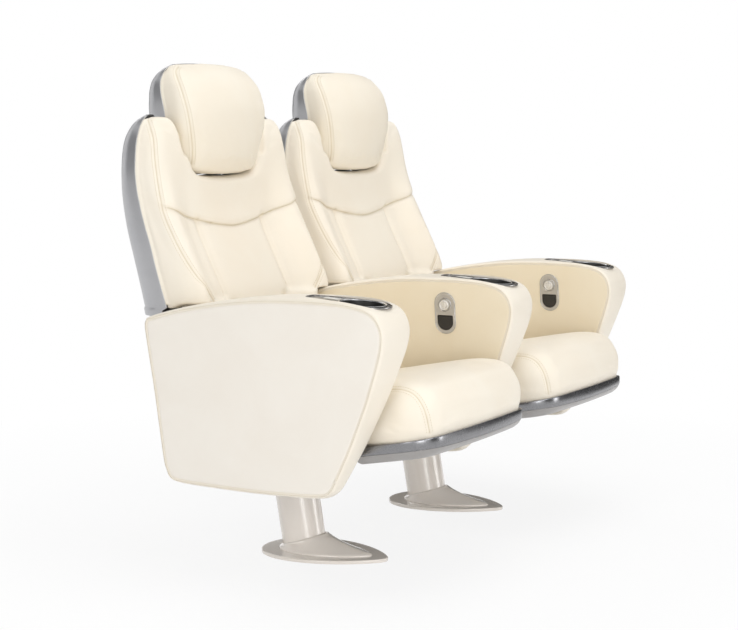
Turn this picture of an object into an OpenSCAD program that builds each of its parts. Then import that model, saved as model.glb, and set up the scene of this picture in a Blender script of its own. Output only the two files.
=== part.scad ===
// Two-place auditorium seat on two leaning pedestals, with three shared arms.
// X runs along the row, the sitter looks along -Y, Z is up, the floor is z = 0.

/* [Row] */
// Distance between the centres of the two places
seat_pitch = 620; // [600:5:660]
// Free gap between the two backs
back_gap = 34; // [24:1:60]
// Front-to-back place of the cup centres, which the arms follow
cup_y = -258; // [-264:1:-252]

/* [Pedestal] */
// Front-to-back place of the column centre on the floor
base_y = 68; // [60:1:76]
// Half width of the foot plate at its widest
base_hw = 106; // [98:1:114]
// Length of the foot plate from its front tip to its rear
base_len = 318; // [300:1:340]
// Part of the foot plate behind the column centre
base_behind = 104; // [96:1:112]
// Thickness of the foot plate
base_t = 8; // [6:0.5:12]
// Width of the rim that the fairing leaves bare
rim_w = 40; // [36:1:42]
// Height of the fairing in front of the column
fairing_h = 36; // [30:1:42]
// Height of the fairing behind the column
fairing_low_h = 9; // [8:1:14]
// Wall of the fairing
fairing_wall = 3; // [2:0.5:4]
// Outer diameter of the column
column_d = 101.6; // [92:0.1:106]
// Wall of the column tube
column_wall = 4; // [3:0.5:6]
// Lean of the column toward the rear, in degrees
column_lean = 10; // [7:0.5:11]
// Diameter of a floor bolt hole
anchor_d = 11; // [9:0.5:12]
// Spacing of the floor bolts across the row
anchor_dx = 50; // [46:1:52]
// Spacing of the floor bolts front to back
anchor_dy = 50; // [46:1:52]

/* [Row frame] */
// Height of the beam's underside
beam_z = 252; // [246:1:256]
// Depth of the beam
beam_w = 60; // [50:1:64]
// Height of the beam
beam_h = 38; // [34:1:40]
// Wall of the beam tube
beam_wall = 3; // [2:0.5:5]
// Thickness of the plate welded on each column
saddle_t = 8; // [6:1:10]
// Thickness of the steel upright inside each arm
upright_t = 6; // [4:0.5:8]
// Part of an upright ahead of the beam's middle
upright_ahead = 100; // [80:1:105]
// Part of an upright behind the beam's middle
upright_behind = 75; // [60:1:80]
// Distance of an upright's lower end over the arm's underside
upright_lift = 14; // [8:1:20]
// Width of a seat slide bar
bar_w = 26; // [20:1:30]
// Height of a seat slide bar
bar_h = 10; // [8:1:11]
// Distance from a place's centre to its slide bars
bar_x = 150; // [130:1:165]
// Length of a seat slide bar ahead of the beam
bar_front = 270; // [240:1:290]
// Wall of the runner that rides on a slide bar
runner_t = 3; // [2:0.5:3.5]
// Length of a runner
runner_len = 250; // [200:1:260]
// Thickness of the recline bracket
bracket_t = 5; // [4:0.5:6]

/* [Arms] */
// Length of an arm, front to rear
arm_len = 592; // [578:1:600]
// Part of the arm that lies ahead of the cup centre
arm_ahead = 80; // [77:1:84]
// Height of an arm's underside over the floor
arm_low_z = 201; // [196:1:206]
// Height of an arm from its underside to its crest
arm_h = 426; // [420:1:436]
// Width of an arm at its crest
arm_top_w = 130; // [124:1:134]
// Width of an arm at its underside
arm_low_w = 36; // [32:1:44]
// Width of the leather rim left around a side panel
arm_rim = 9; // [7:1:10]
// Thickness of a side panel
panel_t = 5; // [4:0.5:6]
// Outer diameter of the cup
cup_d = 98; // [94:1:102]
// Wall of the cup
cup_wall = 1.6; // [1.2:0.1:2.5]
// Depth of the cup
cup_depth = 68; // [60:1:75]
// Length of the tray plate from front to rear
tray_len = 190; // [180:1:205]
// Width of the tray plate
tray_w = 110; // [106:1:114]
// Thickness of the tray plate
tray_t = 3; // [2:0.5:4]
// Length of the bare number plaque on the tray
plaque_len = 34; // [28:1:36]
// Width of the number plaque
plaque_w = 20; // [14:1:22]
// Thickness of the number plaque
plaque_t = 1; // [0.6:0.1:1.6]

/* [Controls] */
// Place of the recline button behind the cup centre
button_dy = 94; // [84:1:104]
// Height of the recline button
button_z = 564; // [558:1:568]
// Length of the control plate
plate_len = 100; // [94:1:106]
// Width of the control plate
plate_w = 54; // [50:1:58]
// Thickness of the control plate
plate_t = 3; // [2:0.5:4]
// Diameter of the recline button
button_d = 25; // [22:1:28]
// Height that the button stands over its plate
button_out = 7; // [6:0.5:9]
// Width of the dark window below the button
window_w = 40; // [34:1:42]
// Height of the dark window
window_h = 36; // [33:1:38]

/* [Seat] */
// Rake of the seat, front up, in degrees
seat_rake = 5; // [3:0.5:5.5]
// Distance from a place's centre to each side of the trim band
band_hw = 260; // [252:1:264]
// Front-to-back place of the band's foremost point
seat_front_y = -397; // [-404:1:-390]
// Height of the band's lower edge at its middle
band_z = 315; // [312:1:318]
// Height of the band at its middle
band_h = 27; // [24:1:30]
// Rise of the band's lower edge toward its corners
band_rise = 6; // [3:0.5:8]
// Fall of the band toward its rear, beyond the rake, in degrees
band_fall = 5; // [3:0.5:6]
// Wall of the band
band_t = 3; // [2:0.5:4]
// Radius of the band's front corners
band_corner_r = 66; // [50:1:75]
// Bow of the seat's front edge
seat_bow = 14; // [8:1:20]
// Front-to-back place of the band's rear ends
band_rear_y = -130; // [-160:1:-110]
// Thickness of the seat board
pan_t = 11; // [9:1:12]
// Front-to-back place of the seat board's rear end
pan_rear_y = 40; // [30:1:44]
// Height of the cushion's crest over the floor, before the rake
cushion_crest_z = 464; // [450:1:470]
// Drop of the cushion from its crest to its rear end, before the rake
cushion_drop = 44; // [30:1:52]
// Front-to-back place of the cushion's rear end over the beam
cushion_rear_y = 116; // [108:1:122]
// Front-to-back place of the under shell's rear end
tub_rear_y = -205; // [-215:1:-200]
// Depth of the under shell below the band
tub_drop = 14; // [12:1:18]
// Wall of the under shell
tub_t = 3; // [2:0.5:4]

/* [Back] */
// Front-to-back place of the recline pivots
pivot_y = 195; // [192:1:200]
// Height of the recline pivots
pivot_z = 360; // [355:1:365]
// Diameter of the recline pins
pin_d = 16; // [12:1:20]
// Running clearance of pins and rods, on the radius
run_gap = 0.05; // [0.03:0.01:0.09]
// Height from the pivots to the shoulders of the back
back_h = 646; // [630:1:660]
// Half width of the back between the arms
back_low_hw = 236; // [228:1:238]
// Height over the pivots at which the back widens
ledge_h = 226; // [222:1:236]
// Wall of the shells
shell_t = 4; // [3:0.5:6]
// Radius of the shell's rear edges
shell_r = 58; // [45:1:70]
// Bow of the shell's rear face
shell_bow = 20; // [12:1:28]
// Bow of the pad's face
pad_bow = 10; // [4:1:16]
// Depth of the two long channels
channel_deep = 9; // [5:1:12]
// Step of the upper panel over the lower ones
panel_step = 7; // [3:1:10]
// Thickness of a side plate of the back frame
side_plate_t = 6; // [4:0.5:8]
// Distance from the centre to the side plates
side_plate_x = 206; // [196:1:210]
// Depth of a side plate
side_plate_w = 26; // [22:1:30]

/* [Headrest] */
// Half width of the headrest at its widest
head_hw = 172; // [164:1:178]
// Half width of the headrest at its lower end
head_low_hw = 122; // [116:1:128]
// Height of the headrest
head_h = 240; // [232:1:248]
// Height of the headrest's lower end over the pivots
head_z = 515; // [505:1:520]
// Diameter of the guide rods
rod_d = 12; // [10:0.5:14]
// Distance from the centre to each guide rod
rod_x = 60; // [50:1:70]
// Length of the guide rods below the headrest
rod_len = 175; // [165:1:180]
// Height of the guide bushes
bush_h = 30; // [24:1:36]
// Distance of the guide rods behind the back's front line
rod_behind = 18; // [17:0.5:20]
// Radius of the headrest pad's front edges
head_pad_r = 26; // [20:1:28]

/* [Hidden] */
$fn = 64;

// Clearances and overruns shared by every piece
fit_gap = 0.3;
soft_gap = 0.3;
over = 1;

// Colours
leather = "#efe6d3";
leather_side = "#ebe4d8";
pearl = "#e9dfd0";
silver = "#a9abae";
bright = "#c9ccd0";
dark = "#2a2a2c";
steel = "#6f7276";

// ---------- helpers ----------
function seat_x(side) = side * seat_pitch / 2;
function arm_x(i) = i * seat_pitch;
function mix(a, b, t) = a + (b - a) * t;
function smooth(t) = let (u = max(0, min(1, t))) u * u * (3 - 2 * u);
function catmull(a, b, c, d, t) = 0.5 * ((2 * b) + (c - a) * t + (2 * a - 5 * b + 4 * c - d) * t * t
    + (3 * b - a - 3 * c + d) * t * t * t);
// Closed smooth curve through the points, with n steps between two of them
function closed_curve(p, n) = let (m = len(p)) [for (i = [0 : m - 1]) for (k = [0 : n - 1])
    catmull(p[(i + m - 1) % m], p[i], p[(i + 1) % m], p[(i + 2) % m], k / n)];
function unit(v) = v / norm(v);
// Moves each point of a counter-clockwise outline inward by d
function inset(p, d) = let (m = len(p)) [for (i = [0 : m - 1]) let (
    t = unit(p[(i + 1) % m] - p[(i + m - 1) % m])) p[i] + d * [-t[1], t[0]]];
// Value of a table of shares at a share
function at(s, table) = lookup(s, table);

// Closed mesh over rings of points that run counter-clockwise seen from above, the first ring lowest
module loft(rings) {
    n = len(rings[0]);
    m = len(rings);
    function centre(r) = [for (k = [0 : 2]) let (s = [for (p = r) p[k]]) s * [for (p = r) 1] / n];
    pts = concat([for (r = rings) for (p = r) p], [centre(rings[0]), centre(rings[m - 1])]);
    sides = [for (i = [0 : m - 2]) for (j = [0 : n - 1]) let (a = i * n + j, b = i * n + (j + 1) % n)
        each [[a, a + n, b], [b, a + n, b + n]]];
    low = [for (j = [0 : n - 1]) [m * n, j, (j + 1) % n]];
    high = [for (j = [0 : n - 1]) [m * n + 1, (m - 1) * n + (j + 1) % n, (m - 1) * n + j]];
    polyhedron(points = pts, faces = concat(sides, low, high), convexity = 8);
}

// Rounded plan outline: half width, front and rear, corner radii at front and rear, bows at front and rear.
// xs holds the shares of the half width at which the front edge has points.
front_shares = [-0.8, -0.6, -0.4, -0.2, 0, 0.2, 0.4, 0.6, 0.8];
function plan(hw, yf, yr, rf, rr, bf, br, na = 4, xs = front_shares) = let (
    bow = function (q) let (u = q[0] / hw) [q[0], q[1] + (q[1] < (yf + yr) / 2 ? -bf : br) * (1 - u * u)],
    fl = [for (k = [0 : na]) let (a = 180 + 90 * k / na) [-hw + rf + rf * cos(a), yf + rf + rf * sin(a)]],
    fe = [for (s = xs) [s * (hw - rf), yf]],
    fr = [for (k = [0 : na]) let (a = 270 + 90 * k / na) [hw - rf + rf * cos(a), yf + rf + rf * sin(a)]],
    rrt = [for (k = [0 : na]) let (a = 90 * k / na) [hw - rr + rr * cos(a), yr - rr + rr * sin(a)]],
    re = [for (s = [0.5, 0, -0.5]) [s * (hw - rr), yr]],
    rl = [for (k = [0 : na]) let (a = 90 + 90 * k / na) [-hw + rr + rr * cos(a), yr - rr + rr * sin(a)]])
    [for (q = concat(fl, fe, fr, rrt, re, rl)) bow(q)];
function lift(p, z) = [for (q = p) [q[0], q[1], z]];

// ---------- pedestal ----------
// Plan of the foot: its half width at shares of its length, from the front tip to the rear
foot_shares = [[0, 0], [0.012, 0.12], [0.05, 0.26], [0.12, 0.45], [0.22, 0.66], [0.34, 0.84], [0.47, 0.96], [0.6, 1],
    [0.72, 0.97], [0.82, 0.86], [0.9, 0.7], [0.96, 0.47], [0.988, 0.26], [1, 0]];
tip_y = base_y + base_behind - base_len;
function foot_side(sx, d) = [for (q = foot_shares) [sx * q[1] * (base_hw - d), tip_y + d + q[0] * (base_len - 2 * d)]];
function foot_line(d) = concat(foot_side(1, d), [for (i = [len(foot_shares) - 2 : -1 : 1]) foot_side(-1, d)[i]]);
module base_plate() {
    color(pearl) difference() {
        linear_extrude(base_t) polygon(closed_curve(foot_line(0), 2));
        for (sx = [-1, 1]) for (sy = [-1, 1])
            translate([sx * anchor_dx / 2, base_y + sy * anchor_dy / 2, -over])
                cylinder(h = base_t + 2 * over, d = anchor_d);
    }
}
cover_low_h = 3;
cover_rise = atan((fairing_h - fairing_low_h) / column_d);
module cover_form(d) {
    hull() {
        translate([0, 0, base_t]) linear_extrude(cover_low_h - d / 2) polygon(foot_line(rim_w + d));
        translate([0, base_y, base_t + (fairing_h + fairing_low_h) / 2 - cover_low_h]) rotate([-cover_rise, 0, 0])
            cylinder(h = cover_low_h - d / 2, d = column_d + 2 * fairing_wall - 2 * d, $fn = 48);
    }
}
module base_cover() {
    color(pearl) difference() {
        cover_form(0);
        translate([0, 0, -over / 2]) cover_form(fairing_wall);
        column_solid(column_d + 2 * fit_gap, base_t + 2 * fairing_h);
    }
}
// Leaning cylinder from the foot plate up to height top, cut level at both ends
module column_solid(d, top) {
    intersection() {
        translate([0, base_y - tan(column_lean) * -base_t, base_t]) rotate([-column_lean, 0, 0])
            translate([0, 0, -column_d]) cylinder(h = top + 2 * column_d, d = d, $fn = 96);
        translate([-column_d, base_y - 3 * column_d, base_t]) cube([2 * column_d, 6 * column_d, top - base_t]);
    }
}
saddle_z = beam_z - saddle_t;
beam_y = base_y + tan(column_lean) * saddle_z;
saddle_w = 130;
saddle_d = 112;
module column() {
    color(pearl) union() {
        difference() {
            column_solid(column_d, saddle_z);
            translate([0, 0, -over]) column_bore();
        }
        translate([-saddle_w / 2, beam_y - saddle_d / 2, saddle_z]) cube([saddle_w, saddle_d, saddle_t]);
    }
}
module column_bore() {
    translate([0, base_y + tan(column_lean) * base_t, base_t]) rotate([-column_lean, 0, 0])
        translate([0, 0, -column_d]) cylinder(h = saddle_z + 2 * column_d, d = column_d - 2 * column_wall, $fn = 96);
}

// ---------- row frame ----------
beam_len = 2 * seat_pitch + 2 * upright_t;
module beam_box(grow) {
    translate([-beam_len / 2 - over * sign(grow), beam_y - beam_w / 2 - grow, beam_z])
        cube([beam_len + 2 * over * sign(grow), beam_w + 2 * grow, beam_h + grow]);
}
// Window for the beam in an arm's pieces; an end arm's window stops at its outer panel
module beam_window() {
    translate([-arm_low_w, beam_y - beam_w / 2 - fit_gap, beam_z])
        cube([2 * arm_low_w, beam_w + 2 * fit_gap, beam_h + fit_gap]);
}
module row_beam() {
    color(steel) difference() {
        beam_box(0);
        translate([-beam_len / 2 - over, beam_y - beam_w / 2 + beam_wall, beam_z + beam_wall])
            cube([beam_len + 2 * over, beam_w - 2 * beam_wall, beam_h - 2 * beam_wall]);
    }
}
upright_low = arm_low_z + upright_lift;
upright_share = 0.874;
upright_top = upright_share * (arm_low_z + arm_h);
upright_front = beam_y - upright_ahead;
upright_rear = beam_y + upright_behind;
module upright() {
    color(steel) difference() {
        translate([-upright_t / 2, upright_front, upright_low])
            cube([upright_t, upright_rear - upright_front, upright_top - upright_low]);
        beam_window();
    }
}

// ---------- arms ----------
arm_front_y = cup_y - arm_ahead;
arm_crest_z = arm_low_z + arm_h;
// Side view of an arm as shares of its length and height, front lower corner first, then rear, top and front
arm_shares = [[0.215, 0.1], [0.234, 0.056], [0.262, 0.024], [0.31, 0.011], [0.4, 0.005], [0.578, 0], [0.796, 0.005],
    [0.895, 0.012], [0.936, 0.03], [0.951, 0.073], [0.961, 0.143], [0.978, 0.488], [0.992, 0.702],
    [0.998, 0.815], [0.992, 0.85], [0.968, 0.873], [0.828, 0.925], [0.655, 0.967], [0.486, 0.993],
    [0.324, 1], [0.204, 0.998], [0.118, 0.988], [0.059, 0.967], [0.027, 0.936], [0.007, 0.89], [0, 0.838],
    [0.008, 0.765], [0.031, 0.665], [0.072, 0.512], [0.105, 0.407], [0.149, 0.274], [0.185, 0.179]];
arm_line = closed_curve([for (s = arm_shares) [arm_front_y + s[0] * arm_len, arm_low_z + s[1] * arm_h]], 2);
panel_line = inset(arm_line, arm_rim);
panel_pocket_line = inset(arm_line, arm_rim - fit_gap);
arm_tilt = atan((arm_top_w - arm_low_w) / 2 / arm_h);
// Half width of an arm at a height
function arm_hw(z) = (arm_low_w + (arm_top_w - arm_low_w) * (z - arm_low_z) / arm_h) / 2;
// Extrudes a side outline across the row
module across(line, hw) {
    rotate([90, 0, 90]) translate([0, 0, -hw]) linear_extrude(2 * hw) polygon(line);
}
// Wedge between the two sloping sides
module wedge() {
    lo = arm_low_z - arm_rim;
    hi = arm_crest_z + arm_rim;
    translate([0, arm_front_y + arm_len + arm_rim, 0]) rotate([90, 0, 0])
        linear_extrude(arm_len + 2 * arm_rim)
            polygon([[-arm_hw(lo), lo], [arm_hw(lo), lo], [arm_hw(hi), hi], [-arm_hw(hi), hi]]);
}
// Lays a side outline on the arm's face toward -X: local Z points into the arm
module on_face() {
    translate([-arm_hw(arm_low_z), 0, arm_low_z]) rotate([0, -arm_tilt, 0]) rotate([90, 0, 90]) children();
}
function face_line(line) = [for (q = line) [q[0], (q[1] - arm_low_z) / cos(arm_tilt)]];
// Height of the arm's top line at the cup, and the tray's slope
tray_top_share = 0.981;
cup_top_z = arm_low_z + tray_top_share * arm_h;
tray_tilt = 5;
module at_tray() {
    translate([0, cup_y, cup_top_z]) rotate([tray_tilt, 0, 0]) children();
}
// Tray plan: round front end around the cup, tapering to the rear
tray_front = 62;
tray_taper_share = 0.42;
module tray_plan(d) {
    r = tray_w / 2 - d;
    tail = tray_w * tray_taper_share / 2 - d;
    run = tray_len - tray_front;
    ahead = tray_front - tray_w / 2;
    translate([0, -ahead]) circle(r, $fn = 96);
    polygon([[-r, -ahead], [r, -ahead], [r, 0], [mix(r, tail, 0.25), run * 0.45], [tail, run - tail * 0.4 - d],
        [tail * 0.5, run - d], [-tail * 0.5, run - d], [-tail, run - tail * 0.4 - d],
        [-mix(r, tail, 0.25), run * 0.45], [-r, 0]]);
}
cup_lip = 2;
tray_sink = tray_t;
panel_proud = 0.8;
module arm_body(reach) {
    color(leather) difference() {
        intersection() {
            across(arm_line, arm_top_w);
            wedge();
        }
        // pockets for the side panels
        for (m = [0, 1]) mirror([m, 0, 0]) on_face() translate([0, 0, -2 * arm_rim])
            linear_extrude(2 * arm_rim + panel_t) polygon(face_line(panel_pocket_line));
        // slot for the steel upright, open at the underside
        translate([-upright_t / 2 - fit_gap, upright_front - fit_gap, arm_low_z - over])
            cube([upright_t + 2 * fit_gap, upright_rear - upright_front + 2 * fit_gap,
                upright_top - arm_low_z + over + fit_gap]);
        beam_window();
        // seats of the cup and of the tray
        at_tray() translate([0, 0, -cup_depth - fit_gap])
            cylinder(h = 2 * cup_depth, d = cup_d + 2 * fit_gap, $fn = 96);
        at_tray() translate([0, 0, -tray_sink]) linear_extrude(cup_depth) tray_plan(-fit_gap);
        // room behind the recline button
        if (reach) at_button() translate([0, 0, -button_room])
            cylinder(h = button_room + over, d = button_d + 2 * button_flange + 4 * fit_gap);
    }
}
module arm_panel() {
    on_face() translate([0, 0, -panel_proud]) linear_extrude(panel_t + panel_proud - fit_gap / 3)
        polygon(face_line(panel_line));
}
module arm_panels(inner_left, inner_right) {
    color(leather_side) {
        difference() {
            arm_panel();
            if (inner_left) beam_window();
            if (inner_left) at_button() translate([0, 0, -2 * panel_t])
                cylinder(h = 4 * panel_t, d = button_d + 2 * button_flange + 4 * fit_gap);
        }
        difference() {
            mirror([1, 0, 0]) arm_panel();
            if (inner_right) beam_window();
        }
    }
}
module cup() {
    color(dark) at_tray() difference() {
        union() {
            translate([0, 0, -cup_depth]) cylinder(h = cup_depth + tray_t - tray_sink, d = cup_d, $fn = 96);
            translate([0, 0, tray_t - tray_sink + fit_gap / 3]) cylinder(h = cup_lip, d = cup_d + 3 * cup_lip, $fn = 96);
            translate([0, 0, tray_t - tray_sink - over]) cylinder(h = over + cup_lip / 2, d = cup_d, $fn = 96);
        }
        translate([0, 0, -cup_depth + cup_wall]) cylinder(h = cup_depth + tray_t + 2 * cup_lip, d = cup_d - 2 * cup_wall, $fn = 96);
    }
}
module tray() {
    color(bright) at_tray() translate([0, 0, -tray_sink + fit_gap / 3]) difference() {
        linear_extrude(tray_t - fit_gap / 3) tray_plan(0);
        translate([0, 0, -over]) cylinder(h = tray_t + 2 * over, d = cup_d + 2 * fit_gap, $fn = 96);
    }
}
module number_plaques() {
    color(pearl) for (i = [-1, 0, 1]) translate([arm_x(i), 0, 0]) at_tray()
        translate([-plaque_w / 2, cup_d / 2 + plaque_t * 6, tray_t - tray_sink])
            cube([plaque_w, plaque_len, plaque_t]);
}

// ---------- recline controls, on the arm face at a sitter's left hand ----------
button_y = cup_y + button_dy;
button_flange = 2;
button_travel = 4;
button_room = 24;
// Frame on the arm's face toward -X: local Z points out of the face, local Y points up
module at_button() {
    translate([-arm_hw(button_z), button_y, button_z]) rotate([0, -90 - arm_tilt, 0]) rotate([0, 0, 90]) rotate([0, 0, 180])
        children();
}
module stadium(len, w) {
    for (s = [-1, 1]) translate([0, s * (len - w) / 2]) circle(d = w, $fn = 64);
    square([w, len - w], center = true);
}
plate_drop = 20;
module control_plate() {
    color(bright) at_button() translate([0, 0, panel_proud + fit_gap / 3]) difference() {
        linear_extrude(plate_t) translate([0, -plate_drop]) stadium(plate_len, plate_w);
        translate([0, 0, -over]) cylinder(h = plate_t + 2 * over, d = button_d + 2 * run_gap);
        translate([0, 0, plate_t / 2]) linear_extrude(plate_t) window_plan(fit_gap);
    }
}
// Dark window: straight upper edge, rounded below
window_top = -25;
module window_plan(g) {
    r = window_w / 2 + g;
    translate([0, window_top - window_h + r - g]) intersection() {
        union() {
            circle(r);
            translate([-r, 0]) square([2 * r, window_h]);
        }
        translate([-r, -r]) square([2 * r, window_h + 2 * g]);
    }
}
module control_window() {
    color(dark) at_button() translate([0, 0, panel_proud + fit_gap / 3 + plate_t / 2]) linear_extrude(plate_t / 2 + plate_t / 8) window_plan(0);
}
module recline_button() {
    color(bright) at_button() {
        translate([0, 0, -button_room / 2]) cylinder(h = button_room / 2 + plate_t + button_out, d = button_d);
        translate([0, 0, -button_room / 2]) cylinder(h = button_room / 4, d = button_d + 2 * button_flange);
    }
}

// ---------- seat ----------
// The rake turns the board and the cushion about the band's lower front edge, and the band and the under shell further
module raked(more = 0) {
    translate([0, seat_front_y, band_z]) rotate([-seat_rake - more, 0, 0]) translate([0, -seat_front_y, -band_z]) children();
}
band_draw = 4;
tub_inset = 26;
tub_bulge = (tub_inset + band_draw) / 2.4;
bar_z = beam_z + bar_h / 2;
bar_rear = beam_y - beam_w / 2;
runner_z = bar_z + bar_h + fit_gap / 3;
pan_low = 2;
pan_z = band_z - pan_low;
tub_lip = 8;
turn_room = band_h * sin(band_fall);
corner_rear_r = 6;
function seat_plan(d, rear) = plan(band_hw - d, seat_front_y + seat_bow + d, rear, band_corner_r - d,
    corner_rear_r, seat_bow, 0, na = 6);
module slide_bars() {
    color(steel) for (s = [-1, 1]) translate([s * bar_x - bar_w / 2, bar_rear - bar_front, bar_z])
        cube([bar_w, bar_front, bar_h]);
}
runner_front = bar_rear - bar_front + bar_h;
runner_low = bar_z + bar_h / 4;
// Height of the board's underside at a place along the seat
function board_low(y) = band_z + (pan_z - band_z) / cos(seat_rake) - (y - seat_front_y) * tan(seat_rake);
module runners() {
    out = bar_w / 2 + fit_gap + runner_t;
    rear = min(runner_front + runner_len, pan_rear_y - bar_h);
    color(steel) for (s = [-1, 1]) translate([s * bar_x, 0, 0]) difference() {
        rotate([90, 0, 90]) translate([0, 0, -out]) linear_extrude(2 * out)
            polygon([[runner_front, runner_low], [rear, runner_low], [rear, board_low(rear)],
                [runner_front, board_low(runner_front)]]);
        translate([-bar_w / 2 - fit_gap, runner_front - over, runner_low - over])
            cube([bar_w + 2 * fit_gap, rear - runner_front + 2 * over, runner_z - runner_low + over]);
    }
}
// Height of the under shell's floor at a place along the seat
function tub_floor(y) = band_z + (tub_t - tub_drop) / cos(seat_rake + band_fall)
    - (y - seat_front_y) * tan(seat_rake + band_fall);
module seat_pan() {
    color(steel) raked() translate([0, 0, pan_z]) linear_extrude(pan_t)
        polygon(seat_plan(tub_bulge + tub_t + turn_room, pan_rear_y));
}
// Screw posts on the under shell's floor, up to the seat board
post_len = 30;
post_w = 26;
post_shares = [[0.36, 0.2], [0.36, 0.58]];
module screw_posts() {
    first = seat_front_y + tub_inset + seat_bow;
    for (s = [-1, 1]) for (p = post_shares) let (front = first + p[1] * (tub_rear_y - first), rear = front + post_len)
        translate([s * p[0] * band_hw - post_w / 2, 0, 0]) rotate([90, 0, 90]) linear_extrude(post_w)
            polygon([[front, tub_floor(front) - tub_t / 2], [rear, tub_floor(rear) - tub_t / 2],
                [rear, board_low(rear) - fit_gap / 3], [front, board_low(front) - fit_gap / 3]]);
}
// Band ring at a height share, drawn in by d; the lower edge rises toward the corners
function band_ring(d, low, top, rear) = [for (q = seat_plan(d, rear))
    [q[0], q[1], mix(band_z + band_rise * pow(q[0] / band_hw, 2), band_z + band_h, low) + top]];
module trim_band() {
    color(bright) raked(band_fall) difference() {
        loft([band_ring(band_draw, 0, 0, band_rear_y), band_ring(0, 0.85, 0, band_rear_y), band_ring(0, 1, 0, band_rear_y)]);
        loft([band_ring(band_draw + band_t, 0, -2 * band_rise, band_rear_y + band_corner_r),
            band_ring(band_t, 0.85, 0, band_rear_y + band_corner_r), band_ring(band_t, 1, over, band_rear_y + band_corner_r)]);
    }
}
module under_shell() {
    function ring(d, share, lift) = [for (q = seat_plan(d, tub_rear_y))
        [q[0], q[1], mix(band_z - tub_drop, band_z + band_rise * pow(q[0] / band_hw, 2), share) + lift]];
    function deep(d, share, lift) = [for (q = seat_plan(d, tub_rear_y + band_corner_r))
        [q[0], q[1], mix(band_z - tub_drop, band_z + band_rise * pow(q[0] / band_hw, 2), share) + lift]];
    skin = band_draw + band_t + fit_gap / 3;
    color(silver) union() {
        raked(band_fall) difference() {
            loft([ring(tub_inset, 0, 0), ring(tub_bulge, 0.42, 0), ring(band_draw + over, 1, -fit_gap / 3),
                ring(skin, 1, -fit_gap / 3), ring(skin, 1, tub_lip)]);
            loft([deep(tub_inset + tub_t, 0, tub_t), deep(tub_bulge + tub_t, 0.42, tub_t),
                deep(skin + tub_t, 1, 0), deep(skin + tub_t, 1, tub_lip + 2 * band_rise)]);
        }
        screw_posts();
    }
}
front_bulge = 2.2;
// Cushion form as shares: draw-in as a share of the band's corner radius, and height
cushion_form_shares = [[0.12, 0], [0.02, 0.04], [0.01, 0.15], [-0.07, 0.27], [-0.1, 0.46], [-0.06, 0.66], [0.06, 0.81],
    [0.22, 0.9], [0.45, 0.95], [0.75, 0.975], [1.4, 0.99], [2.3, 1]];
crest_ahead = 50;
cushion_z = pan_z + pan_t + soft_gap;
cushion_gap = 3;
cushion_hw = min(band_hw - band_t - soft_gap, seat_pitch / 2 - arm_hw(cushion_crest_z) - cushion_gap);
function cushion_top(y) = let (run = cushion_rear_y - seat_front_y, t = (y - seat_front_y - 2 * crest_ahead) / (run - 2 * crest_ahead))
    cushion_crest_z - cushion_drop * max(0, t) - cushion_drop / 6 * max(0, 1 - (y - seat_front_y) / 2 / crest_ahead);
module seat_cushion() {
    color(leather) raked() loft([for (s = cushion_form_shares) let (d = s[0] * band_corner_r,
        rear = mix(pan_rear_y, cushion_rear_y, smooth(s[1] / 0.4)) - max(0, d))
        [for (q = plan(cushion_hw - d, seat_front_y + seat_bow + band_t + soft_gap + turn_room + d * (d < 0 ? front_bulge : 1), rear,
            max(band_corner_r - d, band_corner_r / 3), band_corner_r / 3, seat_bow, 0, na = 5))
            [q[0], q[1], cushion_z + s[1] * (cushion_top(q[1]) - cushion_z)]]]);
}

// ---------- back ----------
// Each table gives, at shares of the back's height over the pivots, how far a line of the
// side view lies behind the pivots, also as shares of that height
shell_front_shares = [[-0.06, 0.0], [0.06, 0.012], [0.22, 0.05], [0.355, 0.082], [0.41, 0.1], [0.478, 0.122],
    [0.556, 0.144], [0.63, 0.169], [0.69, 0.186], [0.75, 0.2], [0.83, 0.208], [0.91, 0.209], [0.95, 0.208], [1, 0.206]];
shell_rear_shares = [[-0.06, 0.1], [0.06, 0.124], [0.22, 0.166], [0.355, 0.212], [0.405, 0.224], [0.46, 0.237],
    [0.52, 0.253], [0.575, 0.268], [0.628, 0.278], [0.69, 0.286], [0.75, 0.289], [0.85, 0.288], [0.905, 0.282],
    [0.945, 0.266], [0.98, 0.24], [1, 0.214]];
pad_face_shares = [[0.05, -0.09], [0.2, -0.03], [0.29, -0.008], [0.375, 0.012], [0.45, 0.048], [0.53, 0.088],
    [0.612, 0.125], [0.68, 0.144], [0.79, 0.154], [0.91, 0.16], [0.96, 0.168], [0.985, 0.177], [1, 0.188]];
wing_shares = [[0.05, 0.03], [0.2, 0.05], [0.3, 0.046], [0.375, 0.038], [0.45, 0.043], [0.53, 0.056], [0.6, 0.061], [0.66, 0.055],
    [0.72, 0.036], [0.8, 0.018], [0.9, 0.006], [1, 0]];
function yb(s, table) = pivot_y + back_h * at(s, table);
function zb(s) = pivot_z + back_h * s;
back_hw = (seat_pitch - back_gap) / 2;
ledge_share = ledge_h / back_h;
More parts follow.
